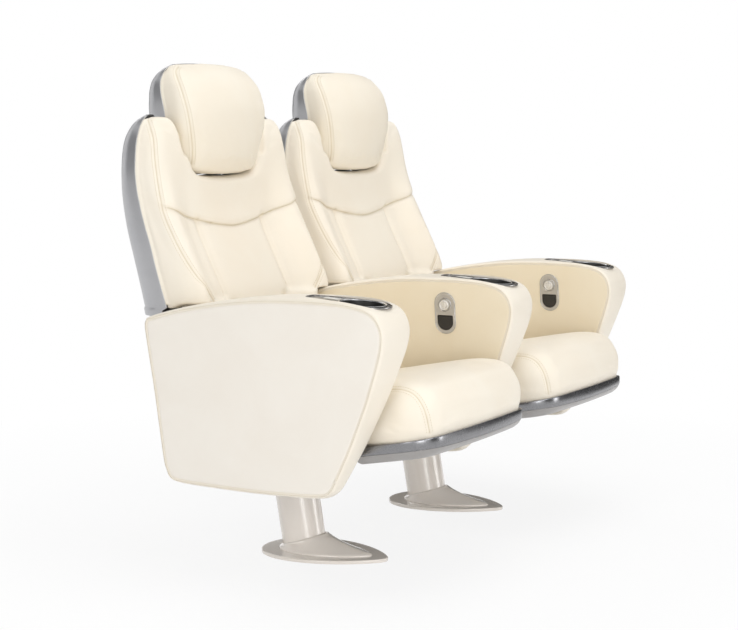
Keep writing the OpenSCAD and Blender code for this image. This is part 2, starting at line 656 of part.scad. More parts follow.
// Half width of the back: narrow between the arms, wide over them, rounded at the shoulders
shoulder_shares = [[0.62, 1], [0.78, 0.995], [0.88, 0.975], [0.93, 0.95], [0.965, 0.915], [0.985, 0.875], [1, 0.82]];
function wide(s) = back_hw * at(s, shoulder_shares);
low_rings = [-0.04, 0.04, 0.13, 0.22, 0.3];
high_rings = [0.4, 0.45, 0.5, 0.55, 0.62, 0.68, 0.72, 0.78, 0.85, 0.91, 0.95, 0.975, 0.993, 1];
module shell_form(d, ahead) {
    up = ledge_share + d / back_h;
    loft(concat(
        [for (s = concat(low_rings, [up])) lift(plan(back_low_hw - d, yb(s, shell_front_shares) - ahead,
            yb(s, shell_rear_shares) - d, shell_t / 2, shell_r / 2, 0, shell_bow, na = 3, xs = [-0.5, 0, 0.5]), zb(s) + (s == low_rings[0] ? -2 * d : 0))],
        [for (s = concat([up + shell_t / 4 / back_h], high_rings)) let (zz = zb(s) - (s > 0.97 ? d : 0))
            lift(plan(wide(s) - d, yb(s, shell_front_shares) - ahead, max(yb(s, shell_rear_shares) - d, yb(s, shell_front_shares) + shell_t),
                shell_t / 2, min(shell_r, (yb(s, shell_rear_shares) - yb(s, shell_front_shares) - shell_t / 2) * 0.72), 0,
                shell_bow * min(1, (1.02 - s) * 12), na = 3, xs = [-0.5, 0, 0.5]), zz)]));
}
// Side room between the headrest and the pieces that it nests in
head_room = 1.5;
function head_line(d) = let (z0 = zb(0) + head_z - d, w1 = head_hw + d, w0 = head_low_hw + d, h = head_h)
    [[-w0 * 0.72, z0], [w0 * 0.72, z0], [w0 * 0.905, z0 + h * 0.03], [w0, z0 + h * 0.1], [mix(w0, w1, 0.45), z0 + h * 0.27],
        [mix(w0, w1, 0.85), z0 + h * 0.42], [w1, z0 + h * 0.56], [w1, z0 + 2 * h], [-w1, z0 + 2 * h], [-w1, z0 + h * 0.56],
        [-mix(w0, w1, 0.85), z0 + h * 0.42], [-mix(w0, w1, 0.45), z0 + h * 0.27], [-w0, z0 + h * 0.1],
        [-w0 * 0.905, z0 + h * 0.03]];
module head_notch(d) {
    translate([0, pivot_y + back_h, 0]) rotate([90, 0, 0]) linear_extrude(2 * back_h) polygon(head_line(d));
}
housing_d = side_plate_w * 1.35;
module back_shell() {
    color(silver) difference() {
        shell_form(0, 0);
        shell_form(shell_t, 4 * shell_t);
        head_notch(head_room);
        // room for the recliners' gear housings, open at the front
        translate([-seat_pitch / 2, pivot_y - housing_d, pivot_z - housing_d * 0.6])
            cube([seat_pitch, housing_d * 1.65, housing_d * 1.2]);
    }
}
module pivot_hole(d) {
    translate([-seat_pitch / 2, pivot_y, pivot_z]) rotate([0, 90, 0]) cylinder(h = seat_pitch, d = d);
}
// Points across the pad's face, close together at the two channels
channel_share = 0.46;
pad_shares = [-0.9, -0.8, -0.68, -0.56, -0.5, -0.46, -0.42, -0.34, -0.2, 0, 0.2, 0.34, 0.42, 0.46, 0.5, 0.56, 0.68, 0.8, 0.9];
smile_share = 0.612;
// Line of the seam between the upper panel and the lower ones, as a share of the height
function smile(u) = smile_share + 0.09 * pow(abs(u), 1.5);
pad_r = 34;
pad_ledge_rise = 5;
function pad_front(u, s) = let (a = abs(u)) yb(s, pad_face_shares)
    - back_h * at(s, wing_shares) * smooth((a - 0.55) / 0.35)
    - panel_step * smooth((s - smile(u)) / 0.02 + 0.5)
    + channel_deep * max(0, 1 - abs(a - channel_share) / 0.04) * smooth((smile(u) - s) / 0.02) * smooth((s - 0.1) / 0.1);
pad_low = [0.06, 0.1, 0.16, 0.22, 0.29];
pad_high = [0.4, 0.45, 0.5, 0.55, 0.59, 0.62, 0.65, 0.68, 0.72, 0.78, 0.85, 0.91, 0.95, 0.975, 0.99, 0.998];
module back_pad() {
    up = ledge_share + pad_ledge_rise / back_h;
    ring = function (s, hw, z) let (yf = yb(s, pad_face_shares), yr = yb(s, shell_front_shares) - soft_gap,
        r = min(pad_r, (yr - yf) * 0.7)) [for (q = plan(hw, yf, yr, r, over, 0, 0, na = 3, xs = pad_shares))
        let (u = q[0] / hw, w = max(0, 1 - (q[1] - yf) / r))
        [q[0], q[1] + w * (pad_front(u, s) - yf - pad_bow * (1 - u * u)), z]];
    color(leather) difference() {
        loft(concat(
            [for (s = concat(pad_low, [up])) ring(s, back_low_hw - soft_gap - pad_r / 4 * (s == pad_low[0] ? 1 : 0), zb(s))],
            [for (s = concat([up + shell_t / back_h], pad_high)) ring(s, wide(s) - soft_gap, zb(s))]));
        head_notch(head_room);
    }
}
// Frame inside the back: two bent side plates, two cross tubes and the recline pins
frame_gap = soft_gap;
plate_shares = [0, 0.06, 0.1, 0.16, 0.22, 0.29, 0.4, 0.45, 0.5, 0.55, 0.59, 0.62, 0.65, 0.68, 0.72, 0.78];
module side_plate() {
    boss = side_plate_w;
    line = concat([for (s = plate_shares) [yb(s, shell_front_shares) + frame_gap, zb(s)]],
        [for (i = [len(plate_shares) - 1 : -1 : 0]) let (s = plate_shares[i]) [yb(s, shell_front_shares) + frame_gap + side_plate_w, zb(s)]]);
    rotate([90, 0, 90]) linear_extrude(side_plate_t) polygon(line);
    translate([0, pivot_y, pivot_z]) rotate([0, 90, 0]) cylinder(h = side_plate_t, d = boss);
}
cross_h = bush_h;
cross_low_share = 0.12;
cross_top_share = 0.72;
rod_y = yb(cross_top_share, shell_front_shares) + rod_behind;
cross_top_z = zb(cross_top_share);
cross_w = 28;
bush_wall = 3;
bush_d = rod_d + 2 * bush_wall;
bracket_d = 58;
pin_gap = 2;
pin_reach = arm_x(0.5) - arm_hw(pivot_z + bracket_d / 2) - panel_proud - pin_gap;
module back_frame() {
    color(steel) difference() {
        union() {
            translate([side_plate_x, 0, 0]) side_plate();
            translate([-side_plate_x - side_plate_t, 0, 0]) side_plate();
            translate([-side_plate_x, rod_y - cross_w / 2, cross_top_z - cross_h]) cube([2 * side_plate_x, cross_w, cross_h]);
            translate([-side_plate_x, yb(cross_low_share + cross_h / back_h, shell_front_shares) + 2 * frame_gap, zb(cross_low_share)])
                cube([2 * side_plate_x, cross_w / 2, cross_h]);
            for (m = [0, 1]) mirror([m, 0, 0]) translate([side_plate_x, pivot_y, pivot_z]) rotate([0, 90, 0])
                cylinder(h = pin_reach - side_plate_x, d = pin_d);
            // gear housings of the recliner, inside the brackets
            for (m = [0, 1]) mirror([m, 0, 0]) translate([side_plate_x, pivot_y, pivot_z]) rotate([0, 90, 0])
                cylinder(h = pin_reach - bracket_t - pin_gap - side_plate_x, d = housing_d);
        }
        for (s = [-1, 1]) translate([s * rod_x, rod_y, cross_top_z - cross_h - over])
            cylinder(h = cross_h + 2 * over, d = bush_d);
    }
}
bush_lip = 2;
module guide_bushes() {
    color(dark) for (s = [-1, 1]) translate([s * rod_x, rod_y, cross_top_z - bush_h]) difference() {
        union() {
            cylinder(h = bush_h, d = bush_d);
            translate([0, 0, bush_h]) cylinder(h = bush_lip, d = bush_d + 3 * bush_lip);
        }
        translate([0, 0, -over]) cylinder(h = bush_h + bush_lip + 2 * over, d = rod_d + 2 * run_gap);
    }
}
module recline_brackets() {
    color(steel) for (m = [0, 1]) mirror([m, 0, 0]) difference() {
        translate([pin_reach - bracket_t - 1, 0, 0]) rotate([90, 0, 90]) linear_extrude(bracket_t) union() {
            translate([pivot_y, pivot_z]) circle(d = bracket_d);
            polygon([[beam_y - beam_w / 2, beam_z + beam_h], [beam_y + beam_w / 2, beam_z + beam_h], [pivot_y + bracket_d / 2, pivot_z],
                [pivot_y - bracket_d / 2, pivot_z]]);
        }
        pivot_hole(pin_d + 2 * run_gap);
    }
}

// ---------- headrest ----------
head_low_z = pivot_z + head_z;
// Side view of the headrest as shares of its height: shell front, shell rear and pad face. The guide rods lie at head_rod_share
head_rod_share = 0.595;
head_front_shares = [[0, 0.566], [0.35, 0.57], [0.57, 0.58], [0.67, 0.598], [0.78, 0.622], [0.86, 0.632], [0.95, 0.626], [1, 0.62]];
head_rear_shares = [[0, 0.815], [0.35, 0.815], [0.6, 0.815], [0.74, 0.803], [0.84, 0.773], [0.92, 0.722], [0.97, 0.668], [1, 0.635]];
head_face_shares = [[0, 0.41], [0.06, 0.355], [0.16, 0.322], [0.35, 0.31], [0.57, 0.318], [0.7, 0.345], [0.82, 0.39],
    [0.92, 0.465], [0.97, 0.53], [1, 0.6]];
head_width_shares = [[0, 0.5], [0.03, 0.63], [0.1, 0.705], [0.27, 0.82], [0.42, 0.945], [0.56, 0.99], [0.7, 1],
    [0.82, 0.985], [0.9, 0.945], [0.95, 0.89], [0.985, 0.79], [1, 0.7]];
head_rings = [0, 0.03, 0.1, 0.19, 0.3, 0.42, 0.56, 0.7, 0.82, 0.9, 0.95, 0.985, 1];
head_bow = 16;
head_dome = 11;
function yh(s, table) = rod_y + head_h * (at(s, table) - head_rod_share);
function head_w(s) = head_hw * (s < 0.56 ? min(at(s, head_width_shares), mix(head_low_hw / head_hw, 1, smooth(s / 0.5)) + 0.02) : at(s, head_width_shares));
module head_shell_form(d, ahead) {
    loft([for (s = head_rings) [for (q = plan(head_w(s) - d, yh(s, head_front_shares) - ahead,
        max(yh(s, head_rear_shares) - d, yh(s, head_front_shares) + shell_t / 2), shell_t / 2,
        min(shell_r * 0.6, (yh(s, head_rear_shares) - yh(s, head_front_shares)) * 0.7), 0, shell_bow * 0.7 * min(1, (1.03 - s) * 6),
        na = 3, xs = [-0.5, 0, 0.5])) [q[0], q[1], head_low_z + s * head_h - (s > 0.96 ? d : 0) + (s < 0.01 ? d : 0)
            + head_dome * smooth(s * 2 - 1) * (1 - pow(q[0] / head_hw, 2))]]]);
}
module headrest_shell() {
    color(silver) difference() {
        head_shell_form(0, 0);
        head_shell_form(shell_t, 4 * shell_t);
        rod_holes();
    }
}
module rod_holes() {
    for (s = [-1, 1]) translate([s * rod_x, rod_y, head_low_z - over]) cylinder(h = head_h / 3, d = rod_d + 4 * fit_gap);
}
module headrest_pad() {
    color(leather) loft([for (s = head_rings) let (hw = head_w(s) - soft_gap, yf = yh(s, head_face_shares),
        yr = yh(s, head_front_shares) - soft_gap) [for (q = plan(hw, yf, max(yr, yf + 2 * over), min(head_pad_r, (yr - yf) * 0.8), over, head_bow, 0, na = 4))
            [q[0], q[1] > yf + head_pad_r + over ? min(q[1], yr) : q[1], head_low_z + s * head_h + head_dome * smooth(s * 2 - 1) * (1 - pow(q[0] / head_hw, 2))]]]);
}
head_plate_t = 4;
module headrest_rods() {
    color(bright) {
        for (s = [-1, 1]) translate([s * rod_x, rod_y, head_low_z + head_h * 0.3 - rod_len - head_h * 0.3])
            cylinder(h = rod_len + head_h * 0.3, d = rod_d);
        translate([-rod_x - rod_d, max(rod_y - head_plate_t, yh(0.6, head_front_shares) + soft_gap), head_low_z + head_h * 0.3])
            cube([2 * rod_x + 2 * rod_d, 2 * head_plate_t, head_h * 0.3]);
    }
}

// ---------- places ----------
module base_left() { translate([seat_x(-1), 0, 0]) base_plate(); }
module base_right() { translate([seat_x(1), 0, 0]) base_plate(); }

base_left();
base_right();
translate([seat_x(-1), 0, 0]) base_cover();  // base_cover_left
translate([seat_x(1), 0, 0]) base_cover();  // base_cover_right
translate([seat_x(-1), 0, 0]) column();  // column_left
translate([seat_x(1), 0, 0]) column();  // column_right
row_beam();
translate([arm_x(-1), 0, 0]) upright();  // upright_left
translate([arm_x(0), 0, 0]) upright();  // upright_middle
translate([arm_x(1), 0, 0]) upright();  // upright_right
translate([arm_x(-1), 0, 0]) arm_body(false);  // arm_body_left
translate([arm_x(0), 0, 0]) arm_body(true);  // arm_body_middle
translate([arm_x(1), 0, 0]) arm_body(true);  // arm_body_right
translate([arm_x(-1), 0, 0]) arm_panels(false, true);  // arm_panels_left
translate([arm_x(0), 0, 0]) arm_panels(true, true);  // arm_panels_middle
translate([arm_x(1), 0, 0]) arm_panels(true, false);  // arm_panels_right
translate([arm_x(-1), 0, 0]) cup();  // cup_left
translate([arm_x(0), 0, 0]) cup();  // cup_middle
translate([arm_x(1), 0, 0]) cup();  // cup_right
translate([arm_x(-1), 0, 0]) tray();  // tray_left
translate([arm_x(0), 0, 0]) tray();  // tray_middle
translate([arm_x(1), 0, 0]) tray();  // tray_right
number_plaques();
translate([seat_x(-1), 0, 0]) slide_bars();  // slide_bars_left
translate([seat_x(1), 0, 0]) slide_bars();  // slide_bars_right
translate([seat_x(-1), 0, 0]) recline_brackets();  // recline_brackets_left
translate([seat_x(1), 0, 0]) recline_brackets();  // recline_brackets_right
translate([seat_x(-1), 0, 0]) runners();  // runners_left
translate([seat_x(1), 0, 0]) runners();  // runners_right
translate([seat_x(-1), 0, 0]) seat_pan();  // seat_pan_left
translate([seat_x(1), 0, 0]) seat_pan();  // seat_pan_right
translate([seat_x(-1), 0, 0]) under_shell();  // under_shell_left
translate([seat_x(1), 0, 0]) under_shell();  // under_shell_right
translate([seat_x(-1), 0, 0]) trim_band();  // trim_band_left
translate([seat_x(1), 0, 0]) trim_band();  // trim_band_right
translate([seat_x(-1), 0, 0]) seat_cushion();  // seat_cushion_left
translate([seat_x(1), 0, 0]) seat_cushion();  // seat_cushion_right
translate([seat_x(-1), 0, 0]) back_frame();  // back_frame_left
translate([seat_x(1), 0, 0]) back_frame();  // back_frame_right
translate([seat_x(-1), 0, 0]) guide_bushes();  // guide_bushes_left
translate([seat_x(1), 0, 0]) guide_bushes();  // guide_bushes_right
translate([seat_x(-1), 0, 0]) back_shell();  // back_shell_left
translate([seat_x(1), 0, 0]) back_shell();  // back_shell_right
translate([seat_x(-1), 0, 0]) back_pad();  // back_pad_left
translate([seat_x(1), 0, 0]) back_pad();  // back_pad_right
translate([seat_x(-1), 0, 0]) headrest_rods();  // headrest_rods_left
translate([seat_x(1), 0, 0]) headrest_rods();  // headrest_rods_right
translate([seat_x(-1), 0, 0]) headrest_shell();  // headrest_shell_left
translate([seat_x(1), 0, 0]) headrest_shell();  // headrest_shell_right
translate([seat_x(-1), 0, 0]) headrest_pad();  // headrest_pad_left
translate([seat_x(1), 0, 0]) headrest_pad();  // headrest_pad_right
translate([arm_x(0), 0, 0]) control_plate();  // control_plate_left
translate([arm_x(1), 0, 0]) control_plate();  // control_plate_right
translate([arm_x(0), 0, 0]) control_window();  // control_window_left
translate([arm_x(1), 0, 0]) control_window();  // control_window_right
translate([arm_x(0), 0, 0]) recline_button();  // recline_button_left
translate([arm_x(1), 0, 0]) recline_button();  // recline_button_right
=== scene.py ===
import math
import bpy
import numpy as np
from mathutils import Matrix, Vector
from mathutils.bvhtree import BVHTree
from mathutils.kdtree import KDTree


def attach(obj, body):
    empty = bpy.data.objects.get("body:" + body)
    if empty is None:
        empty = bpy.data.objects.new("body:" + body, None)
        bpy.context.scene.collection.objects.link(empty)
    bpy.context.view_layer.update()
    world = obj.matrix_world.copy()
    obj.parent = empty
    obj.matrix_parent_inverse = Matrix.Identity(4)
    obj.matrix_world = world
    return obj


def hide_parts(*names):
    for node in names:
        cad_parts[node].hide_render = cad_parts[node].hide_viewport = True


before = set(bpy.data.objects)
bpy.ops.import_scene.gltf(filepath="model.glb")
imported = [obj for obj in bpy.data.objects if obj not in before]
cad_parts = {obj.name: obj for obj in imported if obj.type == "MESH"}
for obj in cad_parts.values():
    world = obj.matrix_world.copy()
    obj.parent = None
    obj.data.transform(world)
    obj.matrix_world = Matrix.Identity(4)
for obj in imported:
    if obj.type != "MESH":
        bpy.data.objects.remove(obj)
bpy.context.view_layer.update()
mm = 0.001
print("frame loaded:", len(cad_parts), "CAD pieces")

# places along the row; pieces are in millimetres, camera, lamps and flags in metres
row = {"pitch": 620.0, "places": {"left": -310.0, "right": 310.0},
       "arms": {"left": -620.0, "middle": 0.0, "right": 620.0}}
scene = bpy.context.scene
scene.view_settings.view_transform = "Standard"


def addObject(name, data):
    obj = bpy.data.objects.new(name, data)
    scene.collection.objects.link(obj)
    return obj


def aim(obj, place, along):
    obj.location = place
    obj.rotation_euler = along.to_track_quat("-Z", "Y").to_euler()


cameraSet = {"place": (-3.623, -1.950, 0.951), "yaw": 29.19, "pitch": 5.9, "lens": 82.93, "sensor": 36}
camera = addObject("camera", bpy.data.cameras.new("camera"))
camera.data.lens = cameraSet["lens"]
camera.data.sensor_width = cameraSet["sensor"]
camera.data.dof.use_dof = False
yaw, pitch = math.radians(cameraSet["yaw"]), math.radians(cameraSet["pitch"])
lookAlong = Vector((math.cos(yaw) * math.cos(pitch), math.sin(yaw) * math.cos(pitch), -math.sin(pitch)))
aim(camera, cameraSet["place"], lookAlong)
scene.camera = camera

lamps = {  # place, what it looks at, size, watts
    "keyLamp": ((-1.5, -4.0, 2.5), (0.0, 0.0, 0.6), 2.6, 35),
    "sideLamp": ((-4.6, -0.2, 1.7), (0.0, 0.0, 0.6), 2.4, 34),
    "lowLamp": ((-2.9, -2.9, 0.55), (0.0, 0.0, 0.1), 1.6, 24),
    "lowRightLamp": ((1.4, -3.2, 0.45), (0.1, 0.0, 0.1), 1.2, 13),
    "topLamp": ((0.1, -0.4, 4.2), (0.0, 0.0, 0.5), 3.2, 65),
    "rearLamp": ((2.6, 3.2, 2.6), (0.0, 0.0, 0.7), 2.4, 34),
}
for name, (place, target, size, watts) in lamps.items():
    lamp = addObject(name, bpy.data.lights.new(name, "AREA"))
    lamp.data.shape = "DISK"
    lamp.data.size = size
    lamp.data.energy = watts
    aim(lamp, place, Vector(target) - Vector(place))


def link(tree, a, b):
    tree.links.new(a, b)


def node(tree, kind, **settings):
    n = tree.nodes.new(kind)
    for key, value in settings.items():
        setattr(n, key, value)
    return n


def feed(tree, value, socket):  # a plain number, or what another node puts out
    if isinstance(value, (int, float)):
        socket.default_value = value
    else:
        link(tree, value, socket)


def sums(tree, operation, a, b):
    n = node(tree, "ShaderNodeMath", operation=operation)
    feed(tree, a, n.inputs[0])
    feed(tree, b, n.inputs[1])
    return n.outputs[0]


def ranged(tree, value, fromMin, fromMax, toMin, toMax):
    n = node(tree, "ShaderNodeMapRange")
    link(tree, value, n.inputs["Value"])
    for label, v in (("From Min", fromMin), ("From Max", fromMax), ("To Min", toMin), ("To Max", toMax)):
        n.inputs[label].default_value = v
    return n.outputs["Result"]


def mixShaders(tree, factor, first, second, output):
    n = node(tree, "ShaderNodeMixShader")
    for i, source in enumerate((factor, first, second)):
        link(tree, source, n.inputs[i])
    link(tree, n.outputs[0], output.inputs["Surface"])


def whiteForViewer(tree):  # 1 where a ray comes from the camera, or by way of metal or glass
    path = node(tree, "ShaderNodeLightPath").outputs
    direct = sums(tree, "MAXIMUM", path["Is Camera Ray"], path["Is Glossy Ray"])
    return sums(tree, "MAXIMUM", direct, path["Is Transmission Ray"])


world = bpy.data.worlds.new("studio")
scene.world = world
world.use_nodes = True
wt = world.node_tree
ambient = wt.nodes["Background"]
ambient.inputs["Color"].default_value = (0.98, 0.99, 1.0, 1)
ambient.inputs["Strength"].default_value = 0.49
backdrop = node(wt, "ShaderNodeBackground")
backdrop.inputs["Color"].default_value = (1, 1, 1, 1)
backdrop.inputs["Strength"].default_value = 1.0
mixShaders(wt, whiteForViewer(wt), ambient.outputs[0], backdrop.outputs[0], wt.nodes["World Output"])

# z in millimetres, the rest in metres
floorSet = {"radius": 9.0, "z": -0.4, "white": 0.93, "rough": 0.7, "lift": 0.84, "fadeFrom": 0.9, "fadeTo": 2.0}
floorMat = bpy.data.materials.new("paleFloor")
floorMat.use_nodes = True
ft = floorMat.node_tree
floorShader = ft.nodes["Principled BSDF"]
floorShader.inputs["Base Color"].default_value = (floorSet["white"],) * 3 + (1,)
floorShader.inputs["Roughness"].default_value = floorSet["rough"]
away = node(ft, "ShaderNodeVectorMath", operation="LENGTH")
link(ft, node(ft, "ShaderNodeTexCoord").outputs["Object"], away.inputs[0])
fade = ranged(ft, away.outputs["Value"], floorSet["fadeFrom"], floorSet["fadeTo"], floorSet["lift"], 1.0)
glow = node(ft, "ShaderNodeEmission")
seen = sums(ft, "MULTIPLY", fade, whiteForViewer(ft))
mixShaders(ft, seen, floorShader.outputs[0], glow.outputs[0], ft.nodes["Material Output"])
print("camera, light and floor set")


# shapes: small helpers
def tableCurve(table):  # smooth curve through a table of values, without overshoot
    xs = np.array([p[0] for p in table], float)
    ys = np.array([p[1] for p in table], float)
    step = np.diff(xs)
    slope = np.diff(ys) / step
    tangent = np.zeros(len(xs))
    tangent[0], tangent[-1] = slope[0], slope[-1]
    for i in range(1, len(xs) - 1):
        if slope[i - 1] * slope[i] > 0:
            a, b = 2 * step[i] + step[i - 1], step[i] + 2 * step[i - 1]
            tangent[i] = (a + b) / (a / slope[i - 1] + b / slope[i])

    def read(s):
        s = np.clip(np.asarray(s, float), xs[0], xs[-1])
        i = np.clip(np.searchsorted(xs, s, side="right") - 1, 0, len(step) - 1)
        t = (s - xs[i]) / step[i]
        return ((2 * t ** 3 - 3 * t ** 2 + 1) * ys[i] + (t ** 3 - 2 * t ** 2 + t) * step[i] * tangent[i]
                + (3 * t ** 2 - 2 * t ** 3) * ys[i + 1] + (t ** 3 - t ** 2) * step[i] * tangent[i + 1])
    return read


def soft(t):
    t = np.clip(t, 0, 1)
    return t * t * (3 - 2 * t)


def mix(a, b, t):
    return a + (b - a) * t


def bend(a, b, c, d, t):  # from b to c, in line with their neighbours
    return 0.5 * (2 * b + (c - a) * t + (2 * a - 5 * b + 4 * c - d) * t * t + (3 * b - a - 3 * c + d) * t ** 3)


def closedCurve(points, n):  # smooth closed line through the points
    p = np.asarray(points, float)
    out = []
    for i in range(len(p)):
        four = p[i - 1], p[i], p[(i + 1) % len(p)], p[(i + 2) % len(p)]
        out += [bend(*four, k / n) for k in range(n)]
    return np.array(out)


def openCurve(points, step):  # smooth line through the points, resampled at an even step
    p = np.asarray(points, float)
    p = np.vstack([2 * p[0] - p[1], p, 2 * p[-1] - p[-2]])
    fine = []
    for i in range(1, len(p) - 2):
        fine += [bend(*p[i - 1:i + 3], t) for t in np.linspace(0, 1, 24, endpoint=False)]
    return evenly(np.array(fine + [p[-2]]), step)


def runOf(line):  # distance from the line's start to each of its points
    return np.concatenate([[0], np.cumsum(np.linalg.norm(np.diff(line, axis=0), axis=1))])


def evenly(line, step):
    run = runOf(line)
    count = max(2, int(run[-1] / step) + 1)
    at = np.linspace(0, run[-1], count)
    return np.stack([np.interp(at, run, line[:, k]) for k in range(line.shape[1])], axis=1)


def unit(rows):
    return rows / np.linalg.norm(rows, axis=-1, keepdims=True)


def outward(line):  # normals of a counter-clockwise closed line, pointing out
    t = unit(np.roll(line, -1, axis=0) - np.roll(line, 1, axis=0))
    return np.stack([t[:, 1], -t[:, 0]], axis=1)


def calm(values):  # evens out a row of points between its ends
    values[1:-1] = (values[:-2] + 2 * values[1:-1] + values[2:]) / 4


def joined(line):  # ends where it starts
    return np.vstack([line, line[:1]])


def level(line, z):
    return np.column_stack([line, np.full(len(line), z)])


def circle(r, a):
    return np.column_stack([r * np.cos(a), r * np.sin(a)])


def mirrored(points):
    return [(-p[0],) + tuple(p[1:]) for p in points]


def turn(axis, degrees):
    return np.array(Matrix.Rotation(math.radians(degrees), 4, axis))


def shift(x, y, z):
    return np.array(Matrix.Translation((x, y, z)))


def put(points, m):
    p = np.asarray(points, float)
    return p @ m[:3, :3].T + m[:3, 3]


def moved(shape, m):
    return put(shape[0], m), shape[1]


def shifted(shape, dx):
    return np.asarray(shape[0]) + [dx, 0, 0], shape[1]


def slide(mesh, dx):
    mesh.transform(Matrix.Translation((dx * mm, 0, 0)))


# rounded plan, counter-clockwise; the last four are counts of points
def planRing(hw, yf, yr, rf, rr, bowFront=0.0, bowRear=0.0, arc=9, front=33, rear=9, side=4):
    def corner(cx, cy, r, start, count):
        a = np.radians(start + 90 * np.linspace(0, 1, count))
        return np.stack([cx + r * np.cos(a), cy + r * np.sin(a)], axis=1)

    def edge(a, b, count):
        t = np.linspace(0, 1, count + 2)[1:-1, None]
        return np.array(a) * (1 - t) + np.array(b) * t
    parts = [corner(-hw + rf, yf + rf, rf, 180, arc), edge((-hw + rf, yf), (hw - rf, yf), front),
             corner(hw - rf, yf + rf, rf, 270, arc), edge((hw, yf + rf), (hw, yr - rr), side),
             corner(hw - rr, yr - rr, rr, 0, arc), edge((hw - rr, yr), (-hw + rr, yr), rear),
             corner(-hw + rr, yr - rr, rr, 90, arc), edge((-hw, yr - rr), (-hw, yf + rf), side)]
    q = np.vstack(parts)
    u = np.clip(q[:, 0] / hw, -1, 1)
    q[:, 1] += np.where(q[:, 1] < (yf + yr) / 2, -bowFront, bowRear) * (1 - u * u)
    return q


# skin over rings with the same number of points; wrap joins the last ring to the first
def loft(rings, capLow=True, capHigh=True, wrap=False):
    count, rows = len(rings[0]), len(rings)
    faces = []
    for i in range(rows if wrap else rows - 1):
        for j in range(count):
            a, b = i * count + j, i * count + (j + 1) % count
            faces.append((a, b, (b + count) % (rows * count), (a + count) % (rows * count)))
    if capLow and not wrap:
        faces.append(tuple(range(count - 1, -1, -1)))
    if capHigh and not wrap:
        faces.append(tuple((rows - 1) * count + j for j in range(count)))
    return np.vstack(rings), faces


def merge(parts):  # several (verts, faces) as one
    verts, faces, base = [], [], 0
    for v, f in parts:
        verts.append(np.asarray(v, float))
        faces += [tuple(i + base for i in face) for face in f]
        base += len(v)
    return np.vstack(verts), faces


def newPiece(name, shape, finish, sharp=None):
    verts, faces = shape
    mesh = bpy.data.meshes.new(name)
    mesh.from_pydata((np.asarray(verts, float) * mm).tolist(), [], faces)
    mesh.validate()
    mesh.update()
    mesh.shade_smooth()
    if sharp:
        mesh.set_sharp_from_angle(angle=math.radians(sharp))
    mesh.materials.append(finish)
    return addObject(name, mesh)


def copyPiece(obj, name, dx):  # the same mesh at another place along the row
    mesh = obj.data.copy()
    mesh.name = name
    slide(mesh, dx)
    return addObject(name, mesh)


def bake(obj):  # applies every modifier
    made = bpy.data.meshes.new_from_object(obj.evaluated_get(bpy.context.evaluated_depsgraph_get()))
    old = obj.data
    obj.modifiers.clear()
    obj.data = made
    made.name = obj.name
    if not made.materials and old.materials:
        made.materials.append(old.materials[0])
    bpy.data.meshes.remove(old)
    made.shade_smooth()


def cut(obj, shapes, sharp=None):  # takes closed shapes out of a piece
    for shape in shapes:
        tool = newPiece("cutter", shape, obj.data.materials[0])
        m = obj.modifiers.new("cut", "BOOLEAN")
        m.operation, m.solver, m.object = "DIFFERENCE", "EXACT", tool
        bake(obj)
        bpy.data.objects.remove(tool)
    if sharp:
        obj.data.set_sharp_from_angle(angle=math.radians(sharp))


def roundEdges(obj, width):
    m = obj.modifiers.new("edges", "BEVEL")
    m.width, m.segments, m.limit_method, m.angle_limit = width * mm, 2, "ANGLE", math.radians(50)
    m.harden_normals = False
    bake(obj)


def prism(line, low, high):
    return loft([level(np.asarray(line, float), z) for z in (low, high)])


def turned(profile, sides=72, ring=False):  # profile of (radius, height), from the lowest point, turned round Z
    a = np.radians(np.arange(sides) * 360 / sides)
    return loft([level(circle(r, a), z) for r, z in profile], wrap=ring)


def peg(r, low, high, sides):
    return turned([(r, low), (r, high)], sides)


def tube(line, radius, sides=8, flat=1.0, normals=None):  # round cord along a line
    line = np.asarray(line, float)
    t = unit(np.gradient(line, axis=0))
    up = np.tile([0.0, 0.0, 1.0], (len(line), 1)) if normals is None else np.asarray(normals, float)
    weak = np.abs((up * t).sum(1)) > 0.95
    up[weak] = [1.0, 0.0, 0.0]
    side = unit(np.cross(t, up))
    up = np.cross(side, t)
    a = np.radians(np.arange(sides) * 360 / sides)
    cos, sin = np.cos(a)[:, None], flat * np.sin(a)[:, None]
    return loft([p + radius * (cos * s + sin * u) for p, s, u in zip(line, side, up)])


def stitches(line, normals, length, gap, radius):  # short threads along a line, each a small capsule
    run = runOf(line)
    parts = []
    a = np.radians(np.arange(6) * 60)
    for s in np.arange(gap, run[-1] - length, length + gap):
        ends = [np.array([np.interp(at, run, line[:, k]) for k in range(3)]) for at in (s, s + length)]
        n = np.array([np.interp(s + length / 2, run, normals[:, k]) for k in range(3)])
        t = unit(ends[1] - ends[0])
        n = unit(n - t * (n @ t))
        side = np.cross(t, n)
        rings = []
        for share, r, rise in ((0, 0.35, -0.5), (0.16, 0.9, 0.2), (0.5, 1, 0.45), (0.84, 0.9, 0.2), (1, 0.35, -0.5)):
            c = ends[0] + (ends[1] - ends[0]) * share + n * rise * radius
            rings.append(c + radius * r * (np.cos(a)[:, None] * side + 0.8 * np.sin(a)[:, None] * n))
        parts.append(loft(rings))
    return merge(parts)


def readMesh(mesh, what):
    values = np.empty(len(mesh.vertices) * 3)
    mesh.vertices.foreach_get(what, values)
    return values.reshape(-1, 3)


def surfaceOf(obj):
    return readMesh(obj.data, "co") / mm


def setSurface(obj, co):
    obj.data.vertices.foreach_set("co", (co * mm).ravel())
    obj.data.update()


def normalsOf(obj):
    return readMesh(obj.data, "normal")


